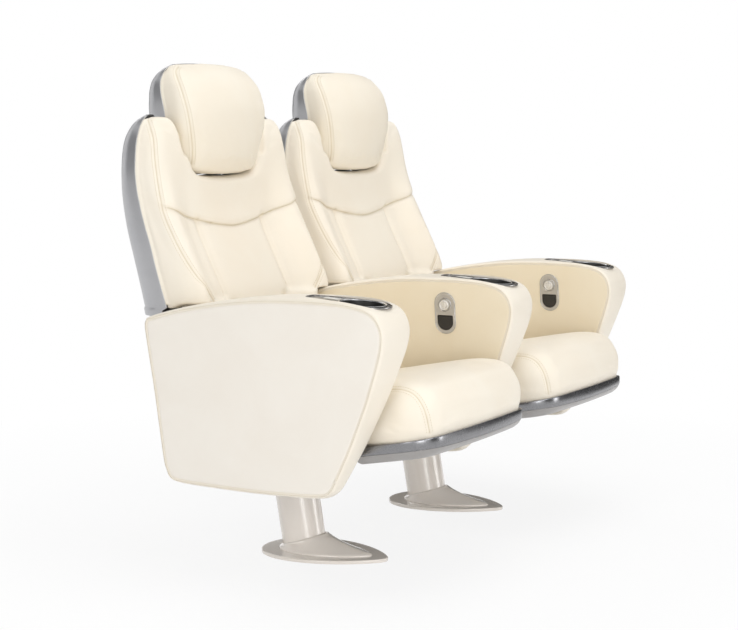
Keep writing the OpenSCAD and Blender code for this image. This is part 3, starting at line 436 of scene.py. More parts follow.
def snap(line, obj, lift=0.0):  # the line laid on a piece's surface, with the normals there
    tree = BVHTree.FromObject(obj, bpy.context.evaluated_depsgraph_get())
    found = [tree.find_nearest(Vector(p * mm)) for p in np.asarray(line, float)]
    spots, normals = np.array([f[0] for f in found]) / mm, np.array([f[1] for f in found])
    for _ in range(6):
        calm(normals)
        calm(spots)
    normals = unit(normals)
    return spots + normals * lift, normals


def beside(line, normals, offset):  # the same line moved across the surface
    return line + offset * np.cross(normals, unit(np.gradient(line, axis=0)))


def treeOf(points):
    tree = KDTree(len(points))
    for i, p in enumerate(points):
        tree.insert(p, i)
    tree.balance()
    return tree


def nearness(points, lines, reach):  # 1 on a line, fading to 0 at the reach
    pts = np.vstack(lines)
    tree = treeOf(pts)
    low, high = pts.min(0) - reach, pts.max(0) + reach
    out = np.zeros(len(points))
    for i in np.where(((points > low) & (points < high)).all(1))[0]:
        out[i] = max(0.0, 1 - tree.find(points[i])[2] / reach)
    return out


def carve(obj, lines, depth, reach, shade=3.2):  # soft groove along lines, and its mask for the material
    co = surfaceOf(obj)
    near = nearness(co, lines, reach)
    setSurface(obj, co - normalsOf(obj) * (depth * near ** 2 * (3 - 2 * near))[:, None])
    # the mask covers a narrow strip along each line, which the leather finish darkens: painted shade in the groove,
    # together with the seam's own darker joint
    near = np.clip(1 - (1 - near) * reach / shade, 0, 1)
    old = obj.data.attributes.get("seam")
    mask = np.zeros(len(co))
    if old:
        old.data.foreach_get("value", mask)
    else:
        old = obj.data.attributes.new("seam", "FLOAT", "POINT")
    old.data.foreach_set("value", np.maximum(mask, near ** 1.5))


def smoothed(obj, times, group=""):
    m = obj.modifiers.new("calm", "SMOOTH")
    m.factor, m.iterations, m.vertex_group = 0.5, times, group


# padded pieces: remesh, swell as cloth, then smooth
stuffing = {"quality": 4, "mass": 0.3, "pressure": 4.0, "stretch": 12, "bending": 0.6, "frames": 20}


def puff(obj, held, voxel, cap):
    m = obj.modifiers.new("even", "REMESH")
    m.mode, m.voxel_size = "VOXEL", voxel * mm
    bake(obj)
    start = surfaceOf(obj)
    hold = held(start, normalsOf(obj))
    pinned = obj.vertex_groups.new(name="held")
    steps = np.round(hold, 1)
    for weight in np.unique(steps):
        if weight > 0:
            pinned.add(np.where(steps == weight)[0].tolist(), float(weight), "REPLACE")
    cloth = obj.modifiers.new("stuffing", "CLOTH")
    s = cloth.settings
    s.quality = stuffing["quality"]
    s.mass = stuffing["mass"]
    s.use_pressure = True
    s.uniform_pressure_force = stuffing["pressure"]
    s.effector_weights.gravity = 0
    s.vertex_group_mass = "held"
    s.tension_stiffness = s.compression_stiffness = stuffing["stretch"]
    s.bending_stiffness = stuffing["bending"]
    cloth.point_cache.frame_start, cloth.point_cache.frame_end = 1, stuffing["frames"]
    for f in range(1, stuffing["frames"] + 1):
        scene.frame_set(f)
    grown = obj.evaluated_get(bpy.context.evaluated_depsgraph_get()).to_mesh()
    move = readMesh(grown, "co") / mm - start
    far = np.linalg.norm(move, axis=1)
    move *= (np.minimum(far, cap * (1 - hold)) / np.maximum(far, 1e-6))[:, None]
    swell = np.linalg.norm(move, axis=1)
    print("  swell of", obj.name, "mean %.1f, most %.1f mm" % (swell.mean(), swell.max()))
    obj.modifiers.clear()
    obj.vertex_groups.clear()
    scene.frame_set(1)
    setSurface(obj, start + move)
    smoothed(obj, 5)
    m = obj.modifiers.new("fine", "SUBSURF")
    m.levels = m.render_levels = 1
    bake(obj)


print("helpers ready")


# finishes
def tone(hexColour):
    parts = [int(hexColour[i:i + 2], 16) / 255 for i in (1, 3, 5)]
    return tuple(p / 12.92 if p <= 0.04045 else ((p + 0.055) / 1.055) ** 2.4 for p in parts) + (1.0,)


def newGroup(name, inputs, outputs):
    group = bpy.data.node_groups.new(name, "ShaderNodeTree")
    for label, kind, value in inputs:
        socket = group.interface.new_socket(name=label, in_out="INPUT", socket_type=kind)
        socket.default_value = value
    for label, kind in outputs:
        group.interface.new_socket(name=label, in_out="OUTPUT", socket_type=kind)
    return group, group.nodes.new("NodeGroupInput"), group.nodes.new("NodeGroupOutput")


def noiseOf(tree, vector, scale, detail=4.0, roughness=0.55, distortion=0.0):
    n = node(tree, "ShaderNodeTexNoise")
    link(tree, vector, n.inputs["Vector"])
    feed(tree, scale, n.inputs["Scale"])
    n.inputs["Detail"].default_value = detail
    n.inputs["Roughness"].default_value = roughness
    n.inputs["Distortion"].default_value = distortion
    return n.outputs["Fac"]


# hide: pebbled grain, fine pores, slow mottle and soft pull lines
gt, gi, go = newGroup("hideGrain", [("Grain Scale", "NodeSocketFloat", 620.0), ("Pull", "NodeSocketFloat", 0.3)],
                      [(label, "NodeSocketFloat") for label in ("Height", "Mottle", "Polish")])
where = node(gt, "ShaderNodeTexCoord").outputs["Object"]
cells = node(gt, "ShaderNodeTexVoronoi", feature="DISTANCE_TO_EDGE")
link(gt, where, cells.inputs["Vector"])
link(gt, gi.outputs["Grain Scale"], cells.inputs["Scale"])
pebble = ranged(gt, cells.outputs["Distance"], 0.0, 0.28, 0.0, 1.0)
pores = noiseOf(gt, where, sums(gt, "MULTIPLY", gi.outputs["Grain Scale"], 3.1), 3)
folds = noiseOf(gt, where, 9.0, 3, 0.5, 1.4)
pull = sums(gt, "MULTIPLY", folds, gi.outputs["Pull"])
fineHeight = sums(gt, "ADD", sums(gt, "MULTIPLY", pores, 0.25), pull)
height = sums(gt, "ADD", sums(gt, "MULTIPLY", pebble, 0.62), fineHeight)
link(gt, height, go.inputs["Height"])
slow = noiseOf(gt, where, 6.0, 5, 0.6, 0.6)
link(gt, ranged(gt, slow, 0.3, 0.72, 0.0, 1.0), go.inputs["Mottle"])
link(gt, sums(gt, "ADD", sums(gt, "MULTIPLY", pebble, 0.5), sums(gt, "MULTIPLY", slow, 0.5)), go.inputs["Polish"])

# wear: rubbed along edges, broken up by noise
et, wi, wo = newGroup("edgeRub", [("Reach", "NodeSocketFloat", 0.06), ("Break", "NodeSocketFloat", 90.0)],
                      [("Mask", "NodeSocketFloat")])
ridge = node(et, "ShaderNodeNewGeometry").outputs["Pointiness"]
scaled = sums(et, "DIVIDE", sums(et, "SUBTRACT", ridge, 0.5), wi.outputs["Reach"])
speck = noiseOf(et, node(et, "ShaderNodeTexCoord").outputs["Object"], wi.outputs["Break"], 5, 0.65)
clampRub = node(et, "ShaderNodeClamp")
link(et, sums(et, "MULTIPLY", scaled, ranged(et, speck, 0.35, 0.65, 0.0, 1.0)), clampRub.inputs["Value"])
link(et, clampRub.outputs[0], wo.inputs["Mask"])

# painted and plated metal: slight waviness, fine specks, hairlines along one direction, handling marks
mt, si, so = newGroup("metalSkin", [("Wave", "NodeSocketFloat", 60.0), ("Flake", "NodeSocketFloat", 3000.0),
                                    ("Hairline", "NodeSocketVector", (4.0, 900.0, 900.0))],
                      [(label, "NodeSocketFloat") for label in ("Waviness", "Lines", "Flakes", "Marks")])
skinPlace = node(mt, "ShaderNodeTexCoord").outputs["Object"]
stretch = node(mt, "ShaderNodeVectorMath", operation="MULTIPLY")
link(mt, skinPlace, stretch.inputs[0])
link(mt, si.outputs["Hairline"], stretch.inputs[1])
link(mt, noiseOf(mt, skinPlace, si.outputs["Wave"], 2), so.inputs["Waviness"])
link(mt, noiseOf(mt, stretch.outputs[0], 1.0, 4, 0.6), so.inputs["Lines"])
link(mt, noiseOf(mt, skinPlace, si.outputs["Flake"], 1), so.inputs["Flakes"])
link(mt, ranged(mt, noiseOf(mt, skinPlace, 22.0, 6, 0.68, 0.8), 0.42, 0.7, 0.0, 1.0), so.inputs["Marks"])


def placeGroup(tree, group, **values):
    n = node(tree, "ShaderNodeGroup", node_tree=group)
    for label, value in values.items():
        n.inputs[label.replace("_", " ")].default_value = value
    return n


def blendTone(tree, factor, a, b):  # colour between two, either a socket or a hex tone
    n = node(tree, "ShaderNodeMix", data_type="RGBA")
    link(tree, factor, n.inputs[0])
    for socket, v in ((n.inputs[6], a), (n.inputs[7], b)):
        if isinstance(v, str):
            socket.default_value = tone(v)
        else:
            link(tree, v, socket)
    return n.outputs[2]


def bumpOf(tree, height, strength, distance, before=None):
    n = node(tree, "ShaderNodeBump")
    n.inputs["Strength"].default_value = strength
    n.inputs["Distance"].default_value = distance * mm
    link(tree, height, n.inputs["Height"])
    if before:
        link(tree, before, n.inputs["Normal"])
    return n.outputs["Normal"]


def startFinish(name, **values):
    mat = bpy.data.materials.new(name)
    mat.use_nodes = True
    shader = mat.node_tree.nodes["Principled BSDF"]
    for label, value in values.items():
        shader.inputs[label.replace("_", " ")].default_value = value
    return mat, mat.node_tree, shader


def hide(name, light, dark, seamShadeTone, rough=0.46, scale=620.0, pull=0.3, deep=0.22, sheen=0.08):
    mat, tree, shader = startFinish(name, Sheen_Weight=sheen, Sheen_Roughness=0.4, Specular_IOR_Level=0.4)
    grain = placeGroup(tree, gt, Grain_Scale=scale, Pull=pull)
    wear = placeGroup(tree, et, Reach=0.09, Break=120.0)
    seam = node(tree, "ShaderNodeAttribute", attribute_name="seam").outputs["Fac"]
    base = blendTone(tree, grain.outputs["Mottle"], light, dark)
    rubbed = blendTone(tree, sums(tree, "MULTIPLY", wear.outputs["Mask"], 0.35), base, light)
    # the seam mask darkens the leather towards its third tone: painted shade in the grooves of seams and channels,
    # together with the seam line's own darker joint
    link(tree, blendTone(tree, sums(tree, "MULTIPLY", seam, 0.55), rubbed, seamShadeTone), shader.inputs["Base Color"])
    gloss = ranged(tree, grain.outputs["Polish"], 0.2, 0.8, rough + 0.07, rough - 0.06)
    link(tree, sums(tree, "SUBTRACT", gloss, sums(tree, "MULTIPLY", wear.outputs["Mask"], 0.06)),
         shader.inputs["Roughness"])
    link(tree, bumpOf(tree, grain.outputs["Height"], deep, 0.5), shader.inputs["Normal"])
    return mat


def painted(name, light, dark, rough, wearTone=None, metallic=0.0, coat=0.0, flake=0.03, wave=0.02, hairline=None,
            lines=0.0, markDepth=0.05, worn=0.3):
    mat, tree, shader = startFinish(name, Coat_Weight=coat, Coat_Roughness=0.12, Metallic=metallic)
    skin = placeGroup(tree, mt, **({"Hairline": hairline} if hairline else {}))
    wear = placeGroup(tree, et, Reach=0.12, Break=160.0)
    spread = sums(tree, "ADD", sums(tree, "MULTIPLY", skin.outputs["Marks"], 0.4),
                  sums(tree, "MULTIPLY", skin.outputs["Flakes"], 0.5))
    base = blendTone(tree, spread, light, dark)
    if wearTone:
        base = blendTone(tree, sums(tree, "MULTIPLY", wear.outputs["Mask"], worn), base, wearTone)
    link(tree, base, shader.inputs["Base Color"])
    mixed = sums(tree, "ADD", sums(tree, "MULTIPLY", skin.outputs["Marks"], markDepth),
                 sums(tree, "MULTIPLY", skin.outputs["Lines"], lines))
    link(tree, sums(tree, "ADD", mixed, rough - markDepth / 3 - lines / 2), shader.inputs["Roughness"])
    first = bumpOf(tree, skin.outputs["Waviness"], wave, 0.6)
    fine = skin.outputs["Lines"] if lines else skin.outputs["Flakes"]
    link(tree, bumpOf(tree, fine, flake, 0.08, first), shader.inputs["Normal"])
    return mat


finish = {
    # each hide's third tone is for the seam mask: painted shade in the grooves, together with the seam's own darker
    # joint
    "leather": hide("creamLeather", "#f1e9da", "#efe5d4", "#d3c4a6"),
    "headLeather": hide("headLeather", "#efe7d7", "#ede3d1", "#d3c4a6"),
    "armLeather": hide("armLeather", "#efe7d9", "#ece3d3", "#d0c1a4", rough=0.44, scale=700.0, pull=0.12),
    "panelLeather": hide("panelLeather", "#f2ece2", "#efe8dd", "#d3c6ad", rough=0.42, scale=700.0, pull=0.18,
                         deep=0.16),
    # inner panels, facing into the seats, are a deeper and yellower copy of the panel leather: painted shade and
    # bounced light between the arms
    "innerShadeLeather": hide("innerPanelShadeLeather", "#efe4cd", "#ecdfc5", "#cdbb94", rough=0.42, scale=700.0, pull=0.18,
                         deep=0.16),
    "thread": painted("seamThread", "#d6c9ae", "#c9bb9e", 0.75, flake=0.5, wave=0.1, hairline=(700.0, 700.0, 700.0)),
    "piping": hide("pipingLeather", "#e2d6bd", "#d8cab0", "#c3b18d", rough=0.45, scale=1100.0, pull=0.05),
    "enamel": painted("pearlEnamel", "#f4ece3", "#f1e8de", 0.2, "#f8f3ec", coat=0.8, flake=0.01, wave=0.006,
                      markDepth=0.03, worn=0.15),
    "silver": painted("silverPaint", "#b8b8ba", "#b0b0b3", 0.36, "#d6d7d9", 0.72, 0.25, flake=0.04, markDepth=0.03),
    "lip": painted("lipPaint", "#a3a09e", "#979492", 0.4, "#c9c7c5", 0.55, 0.2, flake=0.04),
    "band": painted("satinBand", "#8c8c8e", "#828285", 0.26, "#e6e6e8", 0.95, flake=0.02, lines=0.06,
                    hairline=(6.0, 6.0, 1400.0)),
    "brushed": painted("brushedTray", "#9a9794", "#8c8986", 0.27, "#efefef", 0.85, flake=0.05, lines=0.12,
                       hairline=(1500.0, 8.0, 60.0)),
    "chrome": painted("polishedRim", "#cfcfd1", "#c2c2c5", 0.12, "#f4f4f4", 1.0, markDepth=0.03),
    "cup": painted("cupMetal", "#5a5958", "#4c4b4a", 0.36, "#8a8888", 0.85, lines=0.1, flake=0.05,
                   hairline=(900.0, 900.0, 8.0)),
    "window": painted("blackGlass", "#1a1819", "#131212", 0.12, "#4a4848", coat=0.45, wave=0.01, markDepth=0.02,
                      worn=0.15),
    "plate": painted("satinPlate", "#cac7c2", "#bebbb6", 0.33, "#ececea", 0.6, flake=0.04, lines=0.1,
                     hairline=(60.0, 1200.0, 20.0)),
    "button": painted("paleButton", "#e2ded7", "#d6d2cb", 0.28, "#f4f2ee", 0.2, 0.5),
    "plaque": painted("palePlaque", "#dfdcd6", "#d3d0ca", 0.4, "#f2f0ec", coat=0.2),
    "steel": painted("darkSteel", "#7b7d80", "#6d6f72", 0.45, "#b9bbbe", 0.7, flake=0.05, markDepth=0.07),
    "rod": painted("rodChrome", "#d6d7d9", "#c4c5c8", 0.16, "#ffffff", 1.0, lines=0.05, hairline=(900.0, 900.0, 20.0)),
    "bush": painted("bushPlastic", "#2c2c2e", "#232325", 0.5, "#55555a", flake=0.2),
    # pale welts on the shells' front edges: their pale tone is a painted highlight on the rim
    "welt": painted("paleWeltHighlight", "#d3d1cc", "#c6c4bf", 0.35, "#f0efec", 0.4, 0.3),
}
print("finishes made:", len(finish))


def settle(obj, body, slotName, *nodes, fill=None):  # where a piece rides, and what it stands for; the finish slot (slotName) is not used
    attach(obj, body)
    if nodes:
        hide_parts(*nodes)
    return obj


def addPiece(name, shape, finishName, body, slotName, *nodes, sharp=None):
    return settle(newPiece(name, shape, finish[finishName], sharp), body, slotName, *nodes)


def refinish(mat, *names):  # a CAD piece that stays gets its material
    for name in names:
        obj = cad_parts[name]
        if not obj.data.materials:
            obj.data.materials.append(mat)
        for s in obj.material_slots:
            s.material = mat


for side in row["places"]:
    for part in ("slide_bars_", "recline_brackets_", "runners_", "seat_pan_", "back_frame_"):
        refinish(finish["steel"], part + side)
    refinish(finish["bush"], "guide_bushes_" + side)
    refinish(finish["rod"], "headrest_rods_" + side)
refinish(finish["steel"], "row_beam", *["upright_" + a for a in row["arms"]])

around = np.radians(np.arange(0, 360, 5))
floorRings = [level(circle(floorSet["radius"] * 1000 * k, around), floorSet["z"]) for k in (0.02, 0.3, 1.0)]
floorPiece = newPiece("studioFloor", loft(floorRings, capHigh=False), floorMat)

# dark flags, met only by reflections, give metal and enamel their gradation
flags = {  # centre, width, height, grey
    "flagFront": ((2.2, -1.25, 0.9), 1.6, 1.8, 0.05),
    "flagRight": ((2.8, 0.6, 0.9), 2.4, 1.8, 0.05),
    "flagAhead": ((-0.1, -2.7, 0.7), 1.7, 1.4, 0.08),
    "flagSide": ((-3.5, 2.4, 2.2), 3.8, 2.6, 0.05),
    "flagFar": ((2.9, 2.7, 1.95), 4.4, 2.1, 0.04),
    "flagTop": ((0.0, 0.4, 3.6), 5.2, 4.2, 0.03),
}
for name, (place, w, h, grey) in flags.items():
    cloth = bpy.data.materials.new(name + "Cloth")
    cloth.use_nodes = True
    dark = cloth.node_tree.nodes["Principled BSDF"].inputs
    dark["Base Color"].default_value = (grey, grey, grey, 1)
    dark["Roughness"].default_value = 0.9
    sheet = [(x * w * 500, y * h * 500, 0) for x, y in ((-1, -1), (1, -1), (1, 1), (-1, 1))]
    flag = newPiece(name, (sheet, [(0, 1, 2, 3)]), cloth)
    flag.location = place
    if name != "flagTop":
        aim(flag, place, Vector((-place[0], -place[1], 0)))
    for ray in ("camera", "diffuse", "shadow", "transmission", "volume_scatter"):
        setattr(flag, "visible_" + ray, False)

# pedestals: foot plate, fairing, leaning column and saddle
pedestal = {"y": 68.0, "halfWidth": 106.0, "length": 318.0, "behind": 104.0, "thick": 8.0, "rim": 40.0,
            "fairing": 36.0, "fairingRear": 9.0, "wall": 3.0, "column": 101.6, "lean": 10.0, "bolt": 11.0,
            "boltSpacing": 50.0, "saddle": (130.0, 112.0, 8.0), "saddleZ": 244.0}
footShares = [(0, 0), (0.012, 0.12), (0.05, 0.26), (0.12, 0.45), (0.22, 0.66), (0.34, 0.84), (0.47, 0.96), (0.6, 1),
              (0.72, 0.97), (0.82, 0.86), (0.9, 0.7), (0.96, 0.47), (0.988, 0.26), (1, 0)]
footTip = pedestal["y"] + pedestal["behind"] - pedestal["length"]


def footLine(d):
    right = [(w * (pedestal["halfWidth"] - d), footTip + d + s * (pedestal["length"] - 2 * d)) for s, w in footShares]
    return closedCurve(right + mirrored(right[-2:0:-1]), 6)


def footPlate():
    steps = ((0, 0.9), (0.5, 0.25), (1.2, 0), (5.2, 0), (6.6, 0.35), (7.5, 1.2), (7.95, 2.6), (8.0, 5.0))
    return loft([level(footLine(d), z) for z, d in steps])


def ringByAngle(line, centre, angles):  # radius of a closed line round a centre, at given angles
    rel = line - centre
    a = np.arctan2(rel[:, 1], rel[:, 0])
    order = np.argsort(a)
    a, r = a[order], np.linalg.norm(rel, axis=1)[order]
    return np.interp(angles, np.concatenate([a - 2 * np.pi, a, a + 2 * np.pi]), np.tile(r, 3))


def fairingShape():
    angles = np.linspace(-np.pi, np.pi, 144, endpoint=False)
    centre = np.array([0, pedestal["y"]])
    rise = math.atan((pedestal["fairing"] - pedestal["fairingRear"]) / pedestal["column"])
    top = pedestal["column"] / 2 + pedestal["wall"]
    mid = pedestal["thick"] + (pedestal["fairing"] + pedestal["fairingRear"]) / 2
    outer = ringByAngle(footLine(pedestal["rim"]), centre, angles)
    inner = np.stack([top * np.cos(angles), top * np.sin(angles) * math.cos(rise)], axis=1)
    innerZ = mid - top * np.sin(angles) * math.sin(rise)
    low = np.stack([outer * np.cos(angles), outer * np.sin(angles)], axis=1)

    def flank(t, lift, climb):
        rise = (innerZ - pedestal["thick"] - 3) * climb
        return np.column_stack([centre + mix(low, inner, t), pedestal["thick"] + lift + rise])
    rings = [flank(t, lift, t) for t, lift in ((0, -0.6), (0, 0.9), (0.015, 1.9), (0.05, 2.6))]
    for t in np.linspace(0.12, 0.93, 12):  # slightly hollow
        rings.append(flank(t, 3, t - 0.10 * math.sin(math.pi * t)))
    for grow, lift in ((1.02, -0.6), (1.0, 0.2), (0.985, 0.9), (0.965, 1.1), (0.945, 0.6), (0.94, -6)):
        rings.append(np.column_stack([centre + inner * grow, innerZ + lift + (1 - grow) * 8]))
    return loft(rings, capLow=False, capHigh=False)


def columnShape():
    a = np.radians(np.arange(96) * 3.75)
    lean = math.radians(pedestal["lean"])
    rings = []
    for z, grow in ((8.5, 0), (40, 0), (90, 0), (140, 0), (190, 0), (232, 0),
                    (236, 0.2), (238.5, 0.8), (241, 2.2), (243.9, 4.2)):  # the last four are the weld
        r = pedestal["column"] / 2 + grow
        middle = pedestal["y"] + math.tan(lean) * z
        rings.append(np.column_stack([r * np.cos(a), middle + r * np.sin(a) / math.cos(lean), np.full(96, z)]))
    return loft(rings)


boltForm = {"washer": ((0.5, 0), (9, 0), (9.4, 0.4), (9.4, 1.2), (9, 1.6), (0.5, 1.6)),
            "head": ((6.6, 1.6), (6.9, 2.0), (6.9, 6.2), (6.2, 7.0)), "x": 50, "y": 43}


def hexBolt(x, y, z):  # washer and hexagon head
    washer = turned([(r, z + h) for r, h in boltForm["washer"]], 36)
    a = np.radians(np.arange(6) * 60 + 15)
    return moved(merge([washer, loft([level(circle(r, a), z + h) for r, h in boltForm["head"]])]), shift(x, y, 0))


beamY = pedestal["y"] + math.tan(math.radians(pedestal["lean"])) * pedestal["saddleZ"]
corners = [(sx, sy) for sx in (-1, 1) for sy in (-1, 1)]
for side, x in row["places"].items():
    plate = newPiece("footPlate_" + side, footPlate(), finish["enamel"])
    slide(plate.data, x)
    hole, apart = peg(pedestal["bolt"] / 2, -3, 14, 32), pedestal["boltSpacing"] / 2
    cut(plate, [moved(hole, shift(x + sx * apart, pedestal["y"] + sy * apart, 0)) for sx, sy in corners], 30)
    settle(plate, "row_frame", "pedestal_enamel", "base_" + side)
    addPiece("footFairing_" + side, shifted(fairingShape(), x), "enamel",
             "row_frame", "pedestal_enamel", "base_cover_" + side)
    w, d, t = pedestal["saddle"]
    saddleTop = pedestal["saddleZ"] + t
    saddle = prism(planRing(w / 2, beamY - d / 2, beamY + d / 2, 8, 8), pedestal["saddleZ"] + 0.05, saddleTop)
    post = newPiece("column_" + side, shifted(merge([columnShape(), saddle]), x), finish["enamel"])
    roundEdges(post, 1.2)
    post.data.set_sharp_from_angle(angle=math.radians(50))
    settle(post, "row_frame", "pedestal_enamel", "column_" + side)
    bolts = [hexBolt(x + sx * boltForm["x"], beamY + sy * boltForm["y"], saddleTop) for sx, sy in corners]
    addPiece("saddleBolts_" + side, merge(bolts), "steel", "row_frame", "frame_steel", sharp=30)
print("pedestals made")

# arms: leather-covered body with a sewn rim, and a padded panel on each side
arm = {"front": -338.0, "length": 592.0, "low": 201.0, "high": 426.0, "topWidth": 130.0, "lowWidth": 36.0,
       "rim": 9.0, "crown": 1.4, "edge": 6.0, "panelProud": 1.6, "stitch": (3.7, 2.0, 0.5),
       "stitchIn": 5.2, "stitchOut": 1.15, "weltIn": 9.1, "weltOut": 0.15, "welt": 0.9}
armShares = [(0.215, 0.1), (0.234, 0.056), (0.262, 0.024), (0.31, 0.011), (0.4, 0.005), (0.578, 0), (0.796, 0.005),
             (0.895, 0.012), (0.936, 0.03), (0.951, 0.073), (0.961, 0.143), (0.978, 0.488), (0.992, 0.702),
             (0.998, 0.815), (0.992, 0.85), (0.968, 0.873), (0.828, 0.925), (0.655, 0.967), (0.486, 0.993),
             (0.324, 1), (0.204, 0.998), (0.118, 0.988), (0.059, 0.967), (0.027, 0.936), (0.007, 0.89), (0, 0.838),
             (0.008, 0.765), (0.031, 0.665), (0.072, 0.512), (0.105, 0.407), (0.149, 0.274), (0.185, 0.179)]
armCurve = closedCurve([(arm["front"] + s * arm["length"], arm["low"] + h * arm["high"]) for s, h in armShares], 8)
armCurve = evenly(joined(armCurve), 7.0)[:-1]
armTilt = math.atan((arm["topWidth"] - arm["lowWidth"]) / 2 / arm["high"])


def armHalf(z):
    return (arm["lowWidth"] + (arm["topWidth"] - arm["lowWidth"]) * (z - arm["low"]) / arm["high"]) / 2


def settledNormals(line):  # outward normals, calmed at tight turns
    n = outward(line)
    for _ in range(2):
        n = (np.roll(n, 1, 0) + 2 * n + np.roll(n, -1, 0)) / 4
    return unit(n)


armNormals = settledNormals(armCurve)


def armOffset(e):  # the side outline drawn in by e
    return armCurve - armNormals * e


def armBody():
    e0 = arm["edge"]
    left = [(12.5, -4.0), (9.2, -3.2), (8.9, -0.6), (8.2, 0.5), (7.2, 0.95), (e0, 1.0)]
    left += [(e0 - e0 * math.sin(a), 1.0 - (e0 + 1) * (1 - math.cos(a))) for a in np.radians((22, 44, 66))]
    rings = []
    for e, x in left:
        q = armOffset(e)
        rings.append(np.column_stack([-(armHalf(q[:, 1]) + x), q]))
    for share in (-1, -0.66, -0.33, 0, 0.33, 0.66, 1):
        p = armCurve + armNormals * (arm["crown"] * (1 - share * share))
        rings.append(np.column_stack([(armHalf(armCurve[:, 1]) - e0) * share, p]))
    for ring in rings[len(left) - 1::-1]:
        rings.append(ring * [-1, 1, 1])
    return loft([r[::-1] for r in rings], wrap=True)


def onFace(q, side, height):  # an outline laid on the arm's sloping face and lifted off it
    out = np.array([side * math.cos(armTilt), 0, -math.sin(armTilt)])
    return np.column_stack([side * armHalf(q[:, 1]), q]) + out * height


def armPanel(side):
    edge = arm["rim"] + 0.5
    steps = ((0, -2.5), (0.1, -0.2), (0.5, 0.45), (1.3, 0.9), (2.6, 1.15), (5, 1.3), (10, 1.4))
    rings = [onFace(armOffset(edge + inset), side, height) for inset, height in steps]
    inset, height = steps[-1]
    base = armOffset(edge + inset)
    centre = np.array([arm["front"] + 0.56 * arm["length"], arm["low"] + 0.55 * arm["high"]])
    for t in (0.88, 0.74, 0.58, 0.42, 0.26, 0.12, 0.03):
        rings.append(onFace(centre + (base - centre) * t, side, height + (arm["panelProud"] - height) * (1 - t)))
    return loft(rings if side < 0 else [r[::-1] for r in rings], capLow=False)


def armSeams(side):  # stitches on the rim, and a thin welt between rim and panel
    out = np.array([side * math.cos(armTilt), 0, -math.sin(armTilt)])
    line = onFace(evenly(joined(armOffset(arm["stitchIn"])), 3), side, arm["stitchOut"])
    welt = joined(onFace(armOffset(arm["weltIn"]), side, arm["weltOut"]))
    thread = stitches(line, np.tile(out, (len(line), 1)), *arm["stitch"])
    return thread, tube(welt, arm["welt"], 6, 0.8, np.tile(out, (len(welt), 1)))


# cup, tray and plaques, set into the arm's top
cupSet = {"y": -258.0, "z": arm["low"] + 0.981 * arm["high"], "tilt": 5.0, "d": 98.0, "wall": 1.6, "depth": 68.0}
traySet = {"length": 190.0, "width": 110.0, "front": 62.0, "taper": 0.42, "plaque": (20.0, 34.0, 1.0)}


def atTray(shape, x):  # from the cup's own frame to the top of the arm at x
    return moved(moved(shape, shift(0, cupSet["y"], cupSet["z"]) @ turn("X", cupSet["tilt"])), shift(x, 0, 0))


def trayLine(d):  # round front end, then a taper to the rear, all in one smooth outline
    r = traySet["width"] / 2 - d
    tail = traySet["width"] * traySet["taper"] / 2 - d
    run = traySet["length"] - traySet["front"]
    ahead = traySet["front"] - traySet["width"] / 2
    a = np.radians(np.linspace(180, 360, 49))
    arc = np.stack([r * np.cos(a), -ahead + r * np.sin(a)], axis=1)
    right = openCurve([(r, 0), (mix(r, tail, 0.25), run * 0.45), (tail, run - tail * 0.4 - d)], 4)
    half = [(tail, run - tail * 0.4 - d), (tail * 0.8, run - d - tail * 0.1), (tail * 0.45, run - d)]
    nose = openCurve(half + [(0, run - d)] + mirrored(half[::-1]), 2)
    left = right[::-1] * [-1, 1]
    return np.vstack([arc, right[:-1], nose[:-1], left])


def trayShape():
    return loft([level(trayLine(d), z) for z, d in ((-2.9, 0.2), (-0.9, 0), (-0.35, 0.15), (-0.08, 0.6), (0.0, 1.3))])


def cupShape():
    r, w = cupSet["d"] / 2, cupSet["wall"]
    floor = -cupSet["depth"]
    outer = [(2, floor), (r - 9, floor), (r - 5, floor + 1.2), (r - 1.5, floor + 5), (r, floor + 10), (r, -1), (r, 0.1)]
    lip = [(r + 1.6, 0.05), (r + 1.9, 0.4), (r + 1.7, 0.8), (r + 1.0, 1.05), (r + 0.2, 1.1), (r - 0.7, 0.95),
           (r - w - 0.1, 0.4), (r - w - 0.4, -0.6)]
    inner = [(r - w - 0.4, -2), (r - w - 0.4, floor + 14), (r - w - 1.8, floor + 7), (r - 7, floor + 3.2),
             (r - 12, floor + w), (2, floor + w)]
    return turned(lip, 96, ring=True), turned(outer + [(r - 0.2, 0.1)] + inner, 96)


